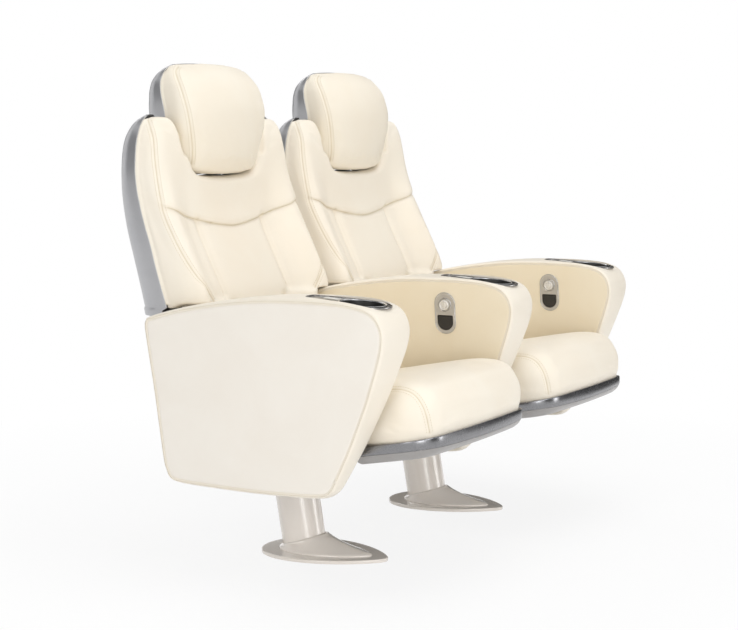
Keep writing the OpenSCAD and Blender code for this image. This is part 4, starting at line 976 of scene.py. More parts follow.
for name, x in row["arms"].items():
    bore = cupSet["d"] / 2
    body = newPiece("armBody_" + name, shifted(armBody(), x), finish["armLeather"])
    pockets = prism(trayLine(-0.5), -3.2, 60), peg(bore + 0.4, -cupSet["depth"] - 1, 60, 96)
    cut(body, [atTray(pocket, x) for pocket in pockets], 40)
    settle(body, "row_frame", "arm_leather", "arm_body_" + name, fill=1.0)
    for hand, label in ((-1, "A"), (1, "B")):
        # panels that face into a seat take the deeper inner copy, painted shade between the arms
        outside = name != "middle" and (hand > 0) == (x > 0)
        panel = newPiece("armPanel" + label + "_" + name, shifted(armPanel(hand), x),
                         finish["panelLeather" if outside else "innerShadeLeather"])
        settle(panel, "row_frame", "panel_leather", *(["arm_panels_" + name] if hand < 0 else []), fill=1.0)
    threads, welts = zip(*[armSeams(hand) for hand in (-1, 1)])
    addPiece("armStitches_" + name, shifted(merge(threads), x), "thread", "row_frame", "arm_leather")
    addPiece("armWelt_" + name, shifted(merge(welts), x), "armLeather", "row_frame", "arm_leather")
    tray = newPiece("tray_" + name, atTray(trayShape(), x), finish["brushed"])
    cut(tray, [atTray(peg(bore + 0.15, -9, 9, 96), x)], 40)
    settle(tray, "row_frame", "tray_metal", "tray_" + name)
    lip, wall = cupShape()
    addPiece("cupWall_" + name, atTray(wall, x), "cup", "row_frame", "cup_metal", "cup_" + name, sharp=40)
    addPiece("cupLip_" + name, atTray(lip, x), "chrome", "row_frame", "cup_metal", sharp=60)
    pw, pl, pt = traySet["plaque"]
    plan = planRing(pw / 2, bore + 6, bore + 6 + pl, 2, 2, arc=5, front=3, rear=3, side=3)
    plaque = newPiece("numberPlaque_" + name, atTray(prism(plan, 0.02, pt), x), finish["plaque"])
    roundEdges(plaque, 0.3)
    settle(plaque, "row_frame", "plaque_plastic", *(["number_plaques"] if name == "left" else []))
print("arms made")

# recline controls on the arm face at a sitter's left hand
control = {"y": -258.0 + 94.0, "z": 564.0, "plate": (54.0, 100.0, 3.0), "drop": 20.0, "proud": 0.9,
           "button": 25.0, "out": 7.0, "window": (40.0, 36.0, -25.0)}


def atButton(shape, x):  # from the button's own frame to the face of the arm at x
    place = shift(x - armHalf(control["z"]), control["y"], control["z"])
    return moved(shape, place @ turn("Y", -90 - math.degrees(armTilt)) @ turn("Z", 270))


def stadium(w, length, d, cy=0.0):
    r = w / 2 - d
    half = (length - w) / 2
    a = np.radians(np.linspace(0, 180, 33))
    top = np.stack([r * np.cos(a), cy + half + r * np.sin(a)], axis=1)
    low = np.stack([-r * np.cos(a), cy - half - r * np.sin(a)], axis=1)
    return np.vstack([top, low])


def windowLine(d):
    w, h, top = control["window"]
    r = w / 2 - d
    a = np.radians(np.linspace(180, 360, 33))
    cy = top - h + w / 2
    low = np.stack([r * np.cos(a), cy + r * np.sin(a)], axis=1)
    c = 3.0
    corner = np.radians(np.linspace(0, 90, 7))
    right = np.stack([r - c + c * np.cos(corner), top - d - c + c * np.sin(corner)], axis=1)
    return np.vstack([low, right, right[::-1] * [-1, 1]])


for side, armName in (("left", "middle"), ("right", "right")):
    x = row["arms"][armName]
    w, length, t = control["plate"]
    base, r, top = control["proud"], control["button"] / 2, t + control["out"]
    steps = ((0, 0.3), (0.4, 0), (t - 1.2, 0), (t - 0.5, 0.25), (t - 0.12, 0.8), (t, 1.6), (t, 3.4), (t - 0.35, 4.2),
             (t - 0.35, 6))
    body = loft([level(stadium(w, length, d, -control["drop"]), base + z) for z, d in steps])
    plate = newPiece("controlPlate_" + side, atButton(body, x), finish["plate"], 40)
    tools = [peg(r + 1.9, 1.6, 9, 64), peg(r + 0.6, -2, 9, 64), prism(windowLine(-0.4), 1.4, 12)]
    cut(plate, [atButton(tool, x) for tool in tools], 35)
    settle(plate, "row_frame", "control_metal", "control_plate_" + side)
    ring = turned([(r + 2.0, base + t - 0.6), (r + 4.4, base + t - 0.6), (r + 4.3, base + t + 0.2),
                   (r + 3.4, base + t + 0.9), (r + 2.3, base + t + 0.3)], 64, ring=True)
    edge = joined(level(stadium(w, length, 1.3, -control["drop"]), base + t - 0.35))
    addPiece("buttonRing_" + side, atButton(merge([ring, tube(edge, 0.85, 8)]), x), "chrome",
             "row_frame", "control_metal")
    glass = ((1.5, 0), (3.5, 0), (3.85, 0.15), (4.0, 0.6), (3.9, 3.0), (3.8, 8))
    addPiece("controlWindow_" + side, atButton(loft([level(windowLine(d), z) for z, d in glass]), x), "window",
             "row_frame", "window_plastic", "control_window_" + side)
    press = turned([(1, -12), (r, -12), (r, top - 2.2), (r - 0.5, top - 0.9), (r - 1.6, top - 0.15), (r - 2.8, top),
                    (r - 3.8, top - 0.4), (r - 4.4, top - 1.7), (r - 5.2, top - 1.9), (r - 5.8, top - 0.8),
                    (r - 6.8, top - 0.35), (0.5, top - 0.2)], 64)
    addPiece("button_" + side, atButton(press, x), "button",
             "button_" + side, "button_metal", "recline_button_" + side)
print("controls made")

# seats: metal band, under lip and cushion, all raked
seat = {"bandHalf": 260.0, "front": -397.0, "bandZ": 315.0, "bandHigh": 27.0, "bandRise": 6.0, "wall": 3.0,
        "cornerR": 66.0, "bow": 14.0, "bandRear": -130.0, "rake": 5.0, "fall": 5.0, "tubRear": -205.0,
        "tubDrop": 14.0, "tubInset": 26.0, "crestZ": 464.0, "drop": 44.0, "rear": 116.0, "panRear": 40.0,
        "crestAhead": 50.0, "puff": 4.0, "shrink": 2.6, "voxel": 5.5}


def raked(shape, more=0.0):
    away, home = shift(0, seat["front"], seat["bandZ"]), shift(0, -seat["front"], -seat["bandZ"])
    return moved(shape, away @ turn("X", -seat["rake"] - more) @ home)


def seatPlan(d, rear, corner=None):
    r = seat["cornerR"] - d if corner is None else corner
    return planRing(seat["bandHalf"] - d, seat["front"] + seat["bow"] + d, rear, r, 6, seat["bow"], 0, arc=13)


def bandRing(d, share, rear, lift=0.0):
    q = seatPlan(d, rear)
    low = seat["bandZ"] + seat["bandRise"] * (q[:, 0] / seat["bandHalf"]) ** 2
    return np.column_stack([q, mix(low, seat["bandZ"] + seat["bandHigh"], share) + lift])


def bandShape():  # closed outside, hollow inside, with rounded lips
    steps = [(6.5, 0.0, 1.2), (4.9, 0.0, 0.2), (4.1, 0.0, 0.3), (3.3, 0.03, 0.8), (1.6, 0.3, 0), (0.4, 0.6, 0),
             (0.0, 0.8, 0), (0.0, 0.9, 0), (0.25, 0.96, 0), (0.9, 0.99, 0), (1.6, 1.0, 0), (2.3, 0.99, 0),
             (2.7, 0.95, 0), (3.0, 0.8, 0), (4.4, 0.4, 0), (6.9, 0.06, 0)]
    rings = [bandRing(d, share, seat["bandRear"], lift) for d, share, lift in steps]
    return raked(loft(rings, wrap=True), seat["fall"])


def tubShape():
    floor = seat["bandZ"] - seat["tubDrop"]
    inset = seat["tubInset"]
    rings = []
    for d, share, lift in ((90, 0, 0), (40, 0, 0), (inset + 4, 0, 0), (inset, 0, 0.5), (21.5, 0.14, 0), (17.5, 0.28, 0),
                           (13.5, 0.42, 0), (9.6, 0.62, 0), (7.0, 0.8, 0), (5.4, 0.94, 0), (5.2, 1.0, -0.6),
                           (7.6, 1.0, -0.2), (7.8, 1.0, 6)):
        q = seatPlan(d, seat["tubRear"] - min(d, 26) * 0.3 + 8, max(seat["cornerR"] - d, 20))
        top = seat["bandZ"] + seat["bandRise"] * (q[:, 0] / seat["bandHalf"]) ** 2
        rings.append(np.column_stack([q, mix(floor, top, share) + lift]))
    rings.append(np.column_stack([seatPlan(11, seat["tubRear"] - 3, 50), rings[-1][:, 2]]))
    rings.append(level(seatPlan(29, seat["tubRear"] - 6, 40), floor + 3))
    return raked(loft(rings), seat["fall"])


def ramp(t, round):  # rises from 0 with a rounded start
    return (t + np.sqrt(t * t + round)) / 2


def cushionTop(y):
    crest = seat["front"] + 2 * seat["crestAhead"]
    behind = (y - crest) / (seat["rear"] - crest)
    ahead = (crest - y) / 2 / seat["crestAhead"]
    return seat["crestZ"] + 1.5 - seat["drop"] * ramp(behind, 0.006) - seat["drop"] / 6 * ramp(ahead, 0.05)


cushionForm = [(0.12, 0), (0.02, 0.04), (0.01, 0.15), (-0.07, 0.27), (-0.1, 0.46), (-0.06, 0.66), (0.06, 0.81),
               (0.22, 0.9), (0.45, 0.95), (0.75, 0.975), (1.4, 0.99), (2.3, 1)]
cushionHalf = min(seat["bandHalf"] - seat["wall"] - 0.3, row["pitch"] / 2 - armHalf(seat["crestZ"]) - 3)
cushionZ = seat["bandZ"] - 2 + 11 + 0.3


def cushionShape(less):
    form = openCurve([(d * 66, s * 140) for d, s in cushionForm], 5) / [66, 140]
    rings = []
    for share, s in form:
        d = share * seat["cornerR"] + less
        rear = mix(seat["panRear"], seat["rear"], soft(s / 0.4)) - max(0, d) - less
        ahead = seat["front"] + seat["bow"] + 5.6 + (d * 2.2 if d < 0 else d)
        q = planRing(cushionHalf - d, ahead, rear, max(seat["cornerR"] - d, 22), 22, seat["bow"], 0, arc=13, side=12)
        top = cushionTop(q[:, 1]) - less
        rings.append(np.column_stack([q, cushionZ + 0.2 + s * (top - cushionZ)]))
    return raked(loft(rings))


def heldCushion(co, no):  # rests on its board and stands in the band
    flat = np.clip(-no[:, 2] * 1.6 - 0.2, 0, 1)
    a = math.radians(seat["rake"])
    height = (co[:, 2] - seat["bandZ"]) * math.cos(a) + (co[:, 1] - seat["front"]) * math.sin(a)
    inBand = np.clip((36 - height) / 8, 0, 1)
    return np.maximum(np.maximum(flat, inBand), np.clip((co[:, 1] - 92) / 16, 0, 0.8))


cushionSeam = [(-244, -150, 436), (-246, -215, 440), (-245, -262, 443), (-243, -292, 443), (-241, -312, 441),
               (-239, -331, 436), (-237, -347, 425), (-237, -360, 409), (-236, -369, 387), (-232, -374, 362),
               (-226, -373, 346)]
seamSet = {"stitch": (3.7, 2.0, 0.55), "pipe": 0.75, "beside": 7.0}


def sewn(obj, seam, depth, reach):  # a seam and its mirror image: groove, piping, and a stitch row on either side
    lines = [snap(openCurve(points, 3), obj)[0] for points in (seam, mirrored(seam))]
    carve(obj, lines, depth, reach)
    pipes, threads = [], []
    for line in lines:
        spot, n = snap(line, obj)
        pipes.append(tube(spot + n * 0.1, seamSet["pipe"], 8, 1, n))
        for across in (-seamSet["beside"], seamSet["beside"]):
            threads.append(stitches(*snap(beside(spot, n, across), obj, 0.1), *seamSet["stitch"]))
    return merge(pipes), merge(threads)


def settlePads(obj, name, body, cadName, fill):  # the left pad moves to its place and is copied to the right
    slide(obj.data, row["places"]["left"])
    settle(obj, body + "_left", "leather", cadName + "_left", fill=fill)
    copy = copyPiece(obj, name + "_right", row["pitch"])
    settle(copy, body + "_right", "leather", cadName + "_right", fill=fill)


cushion = newPiece("cushion_left", cushionShape(seat["shrink"]), finish["leather"])
puff(cushion, heldCushion, seat["voxel"], seat["puff"])
pipe, thread = sewn(cushion, cushionSeam, 2.2, 11)
settlePads(cushion, "cushion", "seat", "seat_cushion", 0.9)
for side, x in row["places"].items():
    body = "seat_" + side
    addPiece("cushionPiping_" + side, shifted(pipe, x), "piping", body, "leather")
    addPiece("cushionStitches_" + side, shifted(thread, x), "thread", body, "leather")
    addPiece("seatBand_" + side, shifted(bandShape(), x), "band", body, "band_metal", "trim_band_" + side, sharp=50)
    addPiece("underLip_" + side, shifted(tubShape(), x), "lip", body, "shell_grey", "under_shell_" + side, sharp=45)
print("seats made")

# backs: moulded shell, sewn pad with an upper panel over two channels
back = {"pivotY": 195.0, "pivotZ": 360.0, "high": 646.0, "half": 293.0, "lowHalf": 236.0, "ledge": 226.0,
        "skirt": 24.0, "shoulderR": 36.0, "shellT": 4.0, "shellR": 58.0, "shellBow": 20.0, "padBow": 10.0,
        "channel": 8.0, "channelShare": 0.46, "step": 7.0, "smile": 0.612, "padR": 34.0, "padLedge": 5.0,
        "housing": 35.1, "slotHalf": 320.0, "shrink": 2.0, "puff": 3.5, "voxel": 5.5}
shellFront = tableCurve([(-0.06, 0.0), (0.06, 0.012), (0.22, 0.05), (0.355, 0.082), (0.41, 0.1), (0.478, 0.122),
                         (0.556, 0.144), (0.63, 0.169), (0.69, 0.186), (0.75, 0.2), (0.83, 0.208), (0.91, 0.209),
                         (0.95, 0.208), (1, 0.206)])
shellRear = tableCurve([(-0.06, 0.1), (0.06, 0.124), (0.22, 0.166), (0.355, 0.212), (0.405, 0.224), (0.46, 0.237),
                        (0.52, 0.253), (0.575, 0.268), (0.628, 0.278), (0.69, 0.286), (0.75, 0.289), (0.85, 0.288),
                        (0.905, 0.282), (0.945, 0.266), (0.98, 0.24), (1, 0.214)])
padFace = tableCurve([(0.05, -0.09), (0.2, -0.03), (0.29, -0.008), (0.375, 0.012), (0.45, 0.048), (0.53, 0.088),
                      (0.612, 0.125), (0.68, 0.144), (0.79, 0.154), (0.91, 0.16), (0.96, 0.168), (0.985, 0.177),
                      (1, 0.188)])
wings = tableCurve([(0.05, 0.03), (0.2, 0.05), (0.3, 0.056), (0.375, 0.066), (0.45, 0.07), (0.53, 0.069),
                    (0.6, 0.065), (0.66, 0.055), (0.72, 0.036), (0.8, 0.018), (0.9, 0.006), (1, 0)])
shoulders = tableCurve([(0.62, 1), (0.78, 0.995), (0.88, 0.975), (0.93, 0.95), (0.965, 0.915), (0.985, 0.875),
                        (1, 0.82)])
head = {"half": 172.0, "lowHalf": 136.0, "high": 240.0, "z": 515.0, "bow": 16.0, "dome": 11.0, "dip": 9.0,
        "room": 1.5, "rodShare": 0.595, "padR": 26.0, "shrink": 1.2, "puff": 3.0, "voxel": 4.5}


def backY(s, curve):
    return back["pivotY"] + back["high"] * curve(s)


def backZ(s):
    return back["pivotZ"] + back["high"] * s


def wide(s):
    return back["half"] * shoulders(s)


headShoulder = ((0, 1.5), (0.05, 1.05), (0.25, 0.58), (0.6, 0.24), (1.05, 0.05), (1.5, -0.04), (2.0, -0.1),
                (2.5, -0.16), (2.9, -0.3), (3.2, -0.7), (3.3, -1.3), (3.3, -3), (3.3, -6))
headZ = backZ(0) + head["z"]


def headLine(d, flare=0.0):  # hanging foot edge, waist and sides; flare rounds the shoulders over
    z0, w1, w0, h, dip = headZ - d, head["half"] + d, head["lowHalf"] + d, head["high"], head["dip"]
    side = [(0, z0 - dip), (w0 * 0.4, z0 - dip * 0.85), (w0 * 0.72, z0 - dip * 0.44), (w0 * 0.89, z0 + h * 0.008),
            (w0 * 0.975, z0 + h * 0.045), (w0, z0 + h * 0.1), (mix(w0, w1, 0.45), z0 + h * 0.27),
            (mix(w0, w1, 0.85), z0 + h * 0.42)]
    if flare:
        side += [(w1 + flare * out, backZ(1) - flare * under) for out, under in headShoulder]
    else:
        side += [(w1, z0 + h * 0.56), (w1, z0 + h * 0.8), (w1, z0 + 2 * h)]
    right = openCurve(side, 5)
    return np.vstack([right, (right[:0:-1]) * [-1, 1]])


def headPrism(d, flare=0.0):  # along the row's depth
    line = headLine(d, flare)
    return loft([np.column_stack([line[:, 0], np.full(len(line), y), line[:, 1]]) for y in (600.0, -300.0)])


# U in plan: outside from front left round the rear to front right, and back inside
def shellRing(half, yf, yr, rr, bow, z, start=None):
    t = back["shellT"]

    def uLine(d):
        h, rear = half - d, yr - d
        r = max(min(rr - d, h * 0.9), 1.0)
        a = np.radians(np.linspace(180, 90, 11))
        left = np.stack([-h + r + r * np.cos(a), rear - r + r * np.sin(a)], axis=1)
        sideY = np.linspace(yf, rear - r, 8)[:-1]
        leftSide = np.stack([np.full(7, -h), sideY], axis=1)
        rear1 = np.stack([np.linspace(-h + r, h - r, 27)[1:-1], np.full(25, rear)], axis=1)
        q = np.vstack([leftSide, left, rear1, left[::-1] * [-1, 1], leftSide[::-1] * [-1, 1]])
        u = q[:, 0] / half
        first = yf if start is None else start
        k = np.clip((q[:, 1] - first) / max(rear - first, 1e-3), 0, 1)
        q[:, 1] += bow * (1 - u * u) * soft(k * 1.4 - 0.4)
        return q
    outer, inner = uLine(0), uLine(t)[::-1]
    lipL = np.array([[-half + 0.5, yf - 0.5], [-half + t / 2, yf - 1.0], [-half + t - 0.5, yf - 0.5]])
    q = np.vstack([outer, (lipL * [-1, 1]), inner, lipL[::-1]])[::-1]
    return np.column_stack([q, np.full(len(q), z)])


def backShell():
    up = (back["ledge"] - back["skirt"]) / back["high"]
    clear = arm["front"] + arm["length"] + 4
    ledge, r, bow = back["ledge"] / back["high"], back["shellR"], back["shellBow"]
    highs = [up, *np.linspace(up + 0.012, ledge - 0.002, 8), *np.linspace(ledge, 0.93, 46),
             0.945, 0.958, 0.968, 0.976, 0.983, 0.989, 0.994, 0.998, 1.0]
    rings = []
    for s in np.linspace(-0.04, up - 0.004, 26):
        rings.append(shellRing(back["lowHalf"], backY(s, shellFront), backY(s, shellRear), r / 2, bow, backZ(s)))
    rear, z = backY(up, shellRear), backZ(up)  # the shell steps out over the arms
    rings.append(shellRing(back["lowHalf"] + 0.6, clear, rear, r / 2, bow, z))
    rings.append(shellRing(float(wide(up)) - 1.6, clear, rear - 0.8, r * 0.98, bow, z + 0.1))
    rings.append(shellRing(float(wide(up)) - 0.5, clear, rear - 0.2, r, bow, z + 0.6))
    for s in highs:
        start, yr = float(backY(s, shellFront)), float(backY(s, shellRear))
        over = s * back["high"] - back["ledge"]
        yf = mix(max(start, clear), start, min(max((over + 9) / 6, 0), 1))
        rings.append(shellRing(float(wide(s)), yf, max(yr, yf + 4.4), min(r, (yr - yf - 2) * 0.72),
                               bow * min(1, (1.02 - s) * 12), backZ(s) + (1.7 if s == up else 0), start))
    return loft(rings)


def smileAt(u):
    return back["smile"] + 0.09 * np.abs(u) ** 1.5


notch = {"least": 7, "grow": 17, "high": 80, "inside": 40, "core": 3}


def notchRound(x, z):  # how far the pad's face falls back near the headrest's notch
    tree = treeOf([Vector((p[0], 0, p[1])) for p in headLine(head["room"])])
    out = np.zeros(len(x))
    for i in range(len(x)):
        r = notch["least"] + notch["grow"] * float(soft((z[i] - headZ) / notch["high"]))
        d = tree.find(Vector((x[i], 0, z[i])))[2]
        inside = abs(x[i]) < head["half"] and z[i] > headZ + notch["inside"]
        if d < r or inside:
            k = 1.0 if inside and d > notch["core"] else max(0.0, 1 - d / r)
            out[i] = r * (1 - math.sqrt(max(0.0, 1 - k * k)))
    return np.minimum(out, notch["grow"])


skirtSink = {"depth": 13, "y": 206, "overY": 36, "overX": 8, "high": 60}


def padRing(s, half, z):
    less = back["shrink"]
    yf, yr = float(backY(s, padFace)) + less, float(backY(s, shellFront)) - 0.4
    r = min(back["padR"], (yr - yf) * 0.7)
    q = planRing(half - less, yf, yr, r, 1.0, 0, 0, arc=9, front=81, rear=15, side=6)
    u = np.clip(q[:, 0] / half, -1, 1)
    a = np.abs(u)
    w = np.clip(1 - (q[:, 1] - yf) / r, 0, 1)
    smile = smileAt(u)
    channel = np.maximum(0, 1 - np.abs(a - back["channelShare"]) / 0.075)
    groove = channel ** 2 * (3 - 2 * channel) * soft((smile - s) / 0.015) * soft((s - 0.1) / 0.1)
    form = (-back["high"] * wings(s) * soft((a - 0.55) / 0.35) - back["step"] * soft((s - smile) / 0.02 + 0.5)
            + back["channel"] * groove)
    q[:, 1] += w * (form - back["padBow"] * (1 - u * u))
    if z > headZ - 30:
        q[:, 1] += w * notchRound(q[:, 0], np.full(len(q), z))
    high, sink = z - back["pivotZ"] - back["ledge"], 0
    if high > 0:
        outer = soft((np.abs(q[:, 0]) - back["lowHalf"]) / skirtSink["overX"])
        sink = (skirtSink["depth"] * soft((q[:, 1] - skirtSink["y"]) / skirtSink["overY"]) * outer
                * max(0.0, 1 - high / skirtSink["high"]))
    return np.column_stack([q, np.full(len(q), z) - sink])


def backPad():
    up = (back["ledge"] + back["padLedge"]) / back["high"]
    less = back["shrink"] / back["high"]
    rings = []
    for s in np.linspace(0.06 + less, up, 40):
        half = back["lowHalf"] - 0.4 - 8.5 * max(0, 1 - (s - 0.06) / 0.03)
        rings.append(padRing(s, half, backZ(s)))
    for k, t in ((0.0, 0.5), (0.0012, 0.85), (0.004, 0.97)):
        rings.append(padRing(up + k, mix(back["lowHalf"], back["half"], t), backZ(up + k) + 0.4))
    for s in (*np.linspace(up + 0.009, 0.6, 30), *np.linspace(0.606, 0.96, 62),
              0.966, 0.973, 0.98, 0.986, 0.991, 0.995 - less):
        rings.append(padRing(s, float(wide(s)) - 0.4, backZ(s)))
    return loft(rings)


def heldBack(co, no):  # rests on its shell
    s = (co[:, 2] - back["pivotZ"]) / back["high"]
    ahead = backY(s, shellFront) - co[:, 1]
    rests = np.clip((14 - ahead) / 10, 0, 1)
    below = np.clip((back["pivotZ"] + back["high"] * 0.35 - co[:, 2]) / 30, 0, 0.7) * (np.abs(no[:, 0]) > 0.5)
    ledge = np.clip(-no[:, 2] * 2 - 1, 0, 1)
    return np.maximum.reduce([rests, below, ledge])


wingSeam = [(-246, 325, 996), (-258, 311, 984), (-265, 300, 968), (-268, 291, 950), (-273, 284, 906),
            (-277, 275, 862), (-281, 267, 824), (-283, 258, 795), (-283, 249, 771), (-281, 221, 721),
            (-276, 198, 685), (-266, 181, 655), (-250, 174, 632), (-232, 170, 612), (-214, 168, 596)]


def meetShell(obj, ahead, half, near=9.0):  # the pad's sides close onto the shell's edge
    co = surfaceOf(obj)
    gap = ahead(co)
    short = half(co) - np.abs(co[:, 0])
    grow = np.where((short > 0) & (short < 10), short, 0) * np.clip((near - gap) / (near - 4), 0, 1) * (gap > -3)
    co[:, 0] += np.sign(co[:, 0]) * grow
    setSurface(obj, co)


def backShare(co):
    return (co[:, 2] - back["pivotZ"]) / back["high"]


def backAhead(co):
    return backY(backShare(co), shellFront) - co[:, 1]


def backHalf(co):
    s = backShare(co)
    return np.where(s * back["high"] < back["ledge"] + back["padLedge"], back["lowHalf"], wide(s)) - 0.5


padObj = newPiece("backPad_left", backPad(), finish["leather"])
cut(padObj, [headPrism(head["room"] - 2.0, back["shoulderR"])])
puff(padObj, heldBack, back["voxel"], back["puff"])
meetShell(padObj, backAhead, backHalf)
us = np.linspace(-0.962, 0.962, 180)
smileLine = np.column_stack([us * back["half"], np.full(180, 200.0), backZ(smileAt(us) - 0.004)])
tree = BVHTree.FromObject(padObj, bpy.context.evaluated_depsgraph_get())


def ontoFace(points):  # meets the pad from in front
    out = []
    for x, _, z in points:
        hit = tree.ray_cast(Vector((x * mm, -0.6, z * mm)), Vector((0, 1, 0)))
        if hit[0] is not None:
            out.append(np.array(hit[0]) / mm)
    return np.array(out)


smileLine = ontoFace(smileLine)
channels = []
for sgn in (-1, 1):
    x = sgn * back["channelShare"] * back["half"] * 0.998
    channels.append(ontoFace([(x, 0, z) for z in np.linspace(768, 602, 56)]))
crease = {"under": 5.5, "underReach": 18, "over": 1.4, "overReach": 9, "calmed": 7}
co = surfaceOf(padObj)  # the upper panel overlaps: below its edge the pad falls back
across = np.clip(co[:, 0] / back["half"], -1, 1)
below = back["pivotZ"] + back["high"] * (smileAt(across) - 0.004) - co[:, 2]
front = np.clip(-normalsOf(padObj)[:, 1] * 1.6 - 0.3, 0, 1) * soft((0.985 - np.abs(across)) / 0.05)
under = np.clip(1 - below / crease["underReach"], 0, 1) ** 2 * crease["under"]
over = -np.clip(1 + below / crease["overReach"], 0, 1) ** 2 * crease["over"]
co[:, 1] += front * mix(over, under, soft((below + 1.6) / 3.2))
setSurface(padObj, co)
calmed = padObj.vertex_groups.new(name="crease")
calmed.add(np.where(np.abs(below) < crease["calmed"])[0].tolist(), 1.0, "REPLACE")
smoothed(padObj, 3, "crease")
bake(padObj)
padObj.vertex_groups.clear()
carve(padObj, channels, 2.6, 13, 2.0)
for _ in range(12):
    calm(smileLine)
# a thin cord in the piping tone along the smile seam: it stands for the seam there and is a painted shadow line under
# the upper panel's edge
creaseShadowCord = tube(smileLine[5:-5] + [0, 1.6, -1.0], 0.9, 6)
pipe, thread = sewn(padObj, wingSeam, 2.0, 10)
settlePads(padObj, "backPad", "back", "back_pad", 0.85)
room, reach = back["housing"], back["slotHalf"]  # the shell is open where the recline bracket passes
slot = ([(x, back["pivotY"] + room * y, back["pivotZ"] + room * z)
         for x in (-reach, reach) for y in (-1.6, 0.65) for z in (-0.6, 0.6)],
        [(0, 1, 3, 2), (4, 6, 7, 5), (0, 4, 5, 1), (2, 3, 7, 6), (0, 2, 6, 4), (1, 5, 7, 3)])
for side, x in row["places"].items():
    body = "back_" + side
    shell = newPiece("backShell_" + side, shifted(backShell(), x), finish["silver"])
    cut(shell, [shifted(headPrism(head["room"], back["shoulderR"]), x), shifted(slot, x)], 40)
    settle(shell, body, "shell_grey", "back_shell_" + side)
    # the wing seams' piping, together with the smile cord, which is a painted shadow line
    addPiece("backPiping_" + side, shifted(merge([pipe, creaseShadowCord]), x), "piping", body, "leather")
    addPiece("backStitches_" + side, shifted(thread, x), "thread", body, "leather")
    # a pale welt on each side of the shell's front edge, a painted highlight on the rim
    ss = np.concatenate([np.linspace(0.36, 0.93, 60), [0.945, 0.958, 0.968, 0.976, 0.983, 0.989, 0.993]])
    half = wide(ss)
    lines = [np.column_stack([x + k * (half - 1.2), backY(ss, shellFront) - 0.9, backZ(ss)]) for k in (-1, 1)]
    addPiece("backWelt_" + side, merge([tube(line, 1.1, 6) for line in lines]), "welt", body, "shell_grey")
print("backs made")

# headrests
headFront = tableCurve([(0, 0.566), (0.35, 0.57), (0.57, 0.58), (0.67, 0.598), (0.78, 0.622), (0.86, 0.632),
                        (0.95, 0.626), (1, 0.62)])
headRear = tableCurve([(0, 0.815), (0.35, 0.815), (0.6, 0.815), (0.74, 0.803), (0.84, 0.773), (0.92, 0.722),
                       (0.97, 0.668), (1, 0.635)])
headFace = tableCurve([(0, 0.41), (0.06, 0.355), (0.16, 0.322), (0.35, 0.31), (0.57, 0.318), (0.7, 0.345),
                       (0.82, 0.39), (0.92, 0.465), (0.97, 0.53), (1, 0.6)])
headWidth = tableCurve([(0, 0.675), (0.008, 0.718), (0.02, 0.75), (0.045, 0.775), (0.1, 0.79), (0.27, 0.872),
                        (0.42, 0.955), (0.56, 0.99), (0.7, 1), (0.82, 0.985), (0.9, 0.945), (0.95, 0.89),
                        (0.985, 0.79), (1, 0.7)])
rodY = float(backY(0.72, shellFront)) + 18
headShares = np.concatenate([[0, 0.006, 0.015, 0.03, 0.05, 0.075], np.linspace(0.1, 0.9, 46),
                             [0.915, 0.93, 0.945, 0.958, 0.97, 0.98, 0.988, 0.995, 1.0]])


def headY(s, curve):
    return rodY + head["high"] * (float(curve(s)) - head["rodShare"])


def headHalf(s):
    w = float(headWidth(s))
    if s < 0.56:
        w = min(w, mix(head["lowHalf"] / head["half"], 1, float(soft(s / 0.5))) + 0.02)
    return head["half"] * w


def headLift(q, s):
    across = (q[:, 0] / headHalf(s)) ** 2
    dome = head["dome"] * float(soft(s * 2 - 1)) * (1 - (q[:, 0] / head["half"]) ** 2)
    return headZ + s * head["high"] + dome - head["dip"] * float(soft(1 - 3.5 * s)) * (1 - across)


def headShell():
    rings = []
    for s in headShares:
        yf = headY(s, headFront)
        yr = max(headY(s, headRear), yf + 4.4)
        ring = shellRing(headHalf(s), yf, yr, min(back["shellR"] * 0.6, (yr - yf) * 0.7),
                         back["shellBow"] * 0.7 * min(1, (1.03 - s) * 6), 0)
        ring[:, 2] = headLift(ring, s)
        rings.append(ring)
    return loft(rings)


def headPad():
    less = head["shrink"]
    rings = []
    for s in headShares[(headShares > 0.008) & (headShares < 0.992)]:
        yf, yr = headY(s, headFace) + less, headY(s, headFront) - 0.4
        q = planRing(headHalf(s) - 0.4 - less, yf, max(yr, yf + 2), min(head["padR"], (yr - yf) * 0.8), 1,
                     head["bow"], 0, arc=9, front=41, rear=13, side=5)
        q[:, 1] = np.where(q[:, 1] > yf + head["padR"] + 1, np.minimum(q[:, 1], yr), q[:, 1])
        rings.append(np.column_stack([q, headLift(q, s) + 3.2 * soft((s - 0.88) / 0.1)]))
    return loft(rings)


def headShare(co):
    return np.clip((co[:, 2] - headZ) / head["high"], 0, 1)


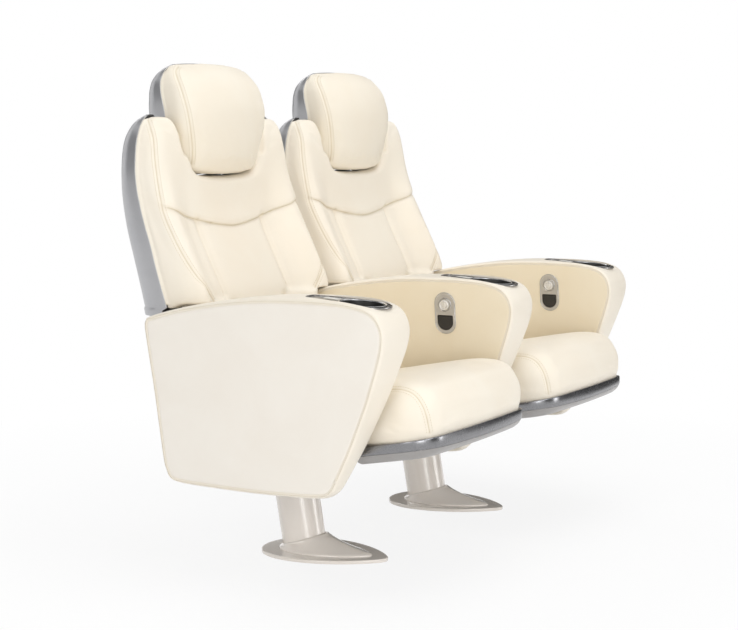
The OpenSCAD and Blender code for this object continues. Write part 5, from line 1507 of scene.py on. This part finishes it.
def heldHead(co, no):  # rests on its shell
    ahead = np.array([headY(k, headFront) for k in headShare(co)]) - co[:, 1]
    return np.clip((12 - ahead) / 8, 0, 1)


headSeam = [(-128, 322, 1118), (-147, 318, 1108), (-156, 308, 1093), (-161, 299, 1081), (-163, 284, 1045),
            (-159, 277, 1012), (-151, 275, 972), (-142, 278, 938), (-132, 285, 914), (-126, 292, 896)]
shares = np.linspace(0, 1, 101)
headFronts = np.array([headY(s, headFront) for s in shares])
headHalves = np.array([headHalf(s) for s in shares])


def headAhead(co):
    return np.interp(headShare(co), shares, headFronts) - co[:, 1]


def headSide(co):
    return np.interp(headShare(co), shares, headHalves) - 0.5


headObj = newPiece("headPad_left", headPad(), finish["headLeather"])
puff(headObj, heldHead, head["voxel"], head["puff"])
meetShell(headObj, headAhead, headSide)
pipe, thread = sewn(headObj, headSeam, 1.8, 9)
settlePads(headObj, "headPad", "headrest", "headrest_pad", 0.9)
rodHole = {"x": 60, "r": 7, "deep": 80, "low": 20}
for side, x in row["places"].items():
    shell = newPiece("headShell_" + side, shifted(headShell(), x), finish["silver"])
    hole = peg(rodHole["r"], 0, rodHole["deep"], 40)
    cut(shell, [moved(hole, shift(x + sgn * rodHole["x"], rodY, headZ - rodHole["low"])) for sgn in (-1, 1)], 40)
    body = "headrest_" + side
    settle(shell, body, "shell_grey", "headrest_shell_" + side)
    addPiece("headPiping_" + side, shifted(pipe, x), "piping", body, "leather")
    addPiece("headStitches_" + side, shifted(thread, x), "thread", body, "leather")
    # a pale welt on each side of the headrest shell's front edge, a painted highlight on the rim
    ss = headShares[(headShares > 0.02) & (headShares < 0.99)]
    across = np.array([headHalf(s) for s in ss]) - 1.2
    y = [headY(s, headFront) - 0.9 for s in ss]
    z = headZ + ss * head["high"] + head["dome"] * soft(ss * 2 - 1) * (1 - (across / head["half"]) ** 2)
    welts = [tube(np.column_stack([x + k * across, y, z]), 1.0, 6) for k in (-1, 1)]
    addPiece("headHighlightWelt_" + side, merge(welts), "welt", body, "shell_grey")
print("headrests made")
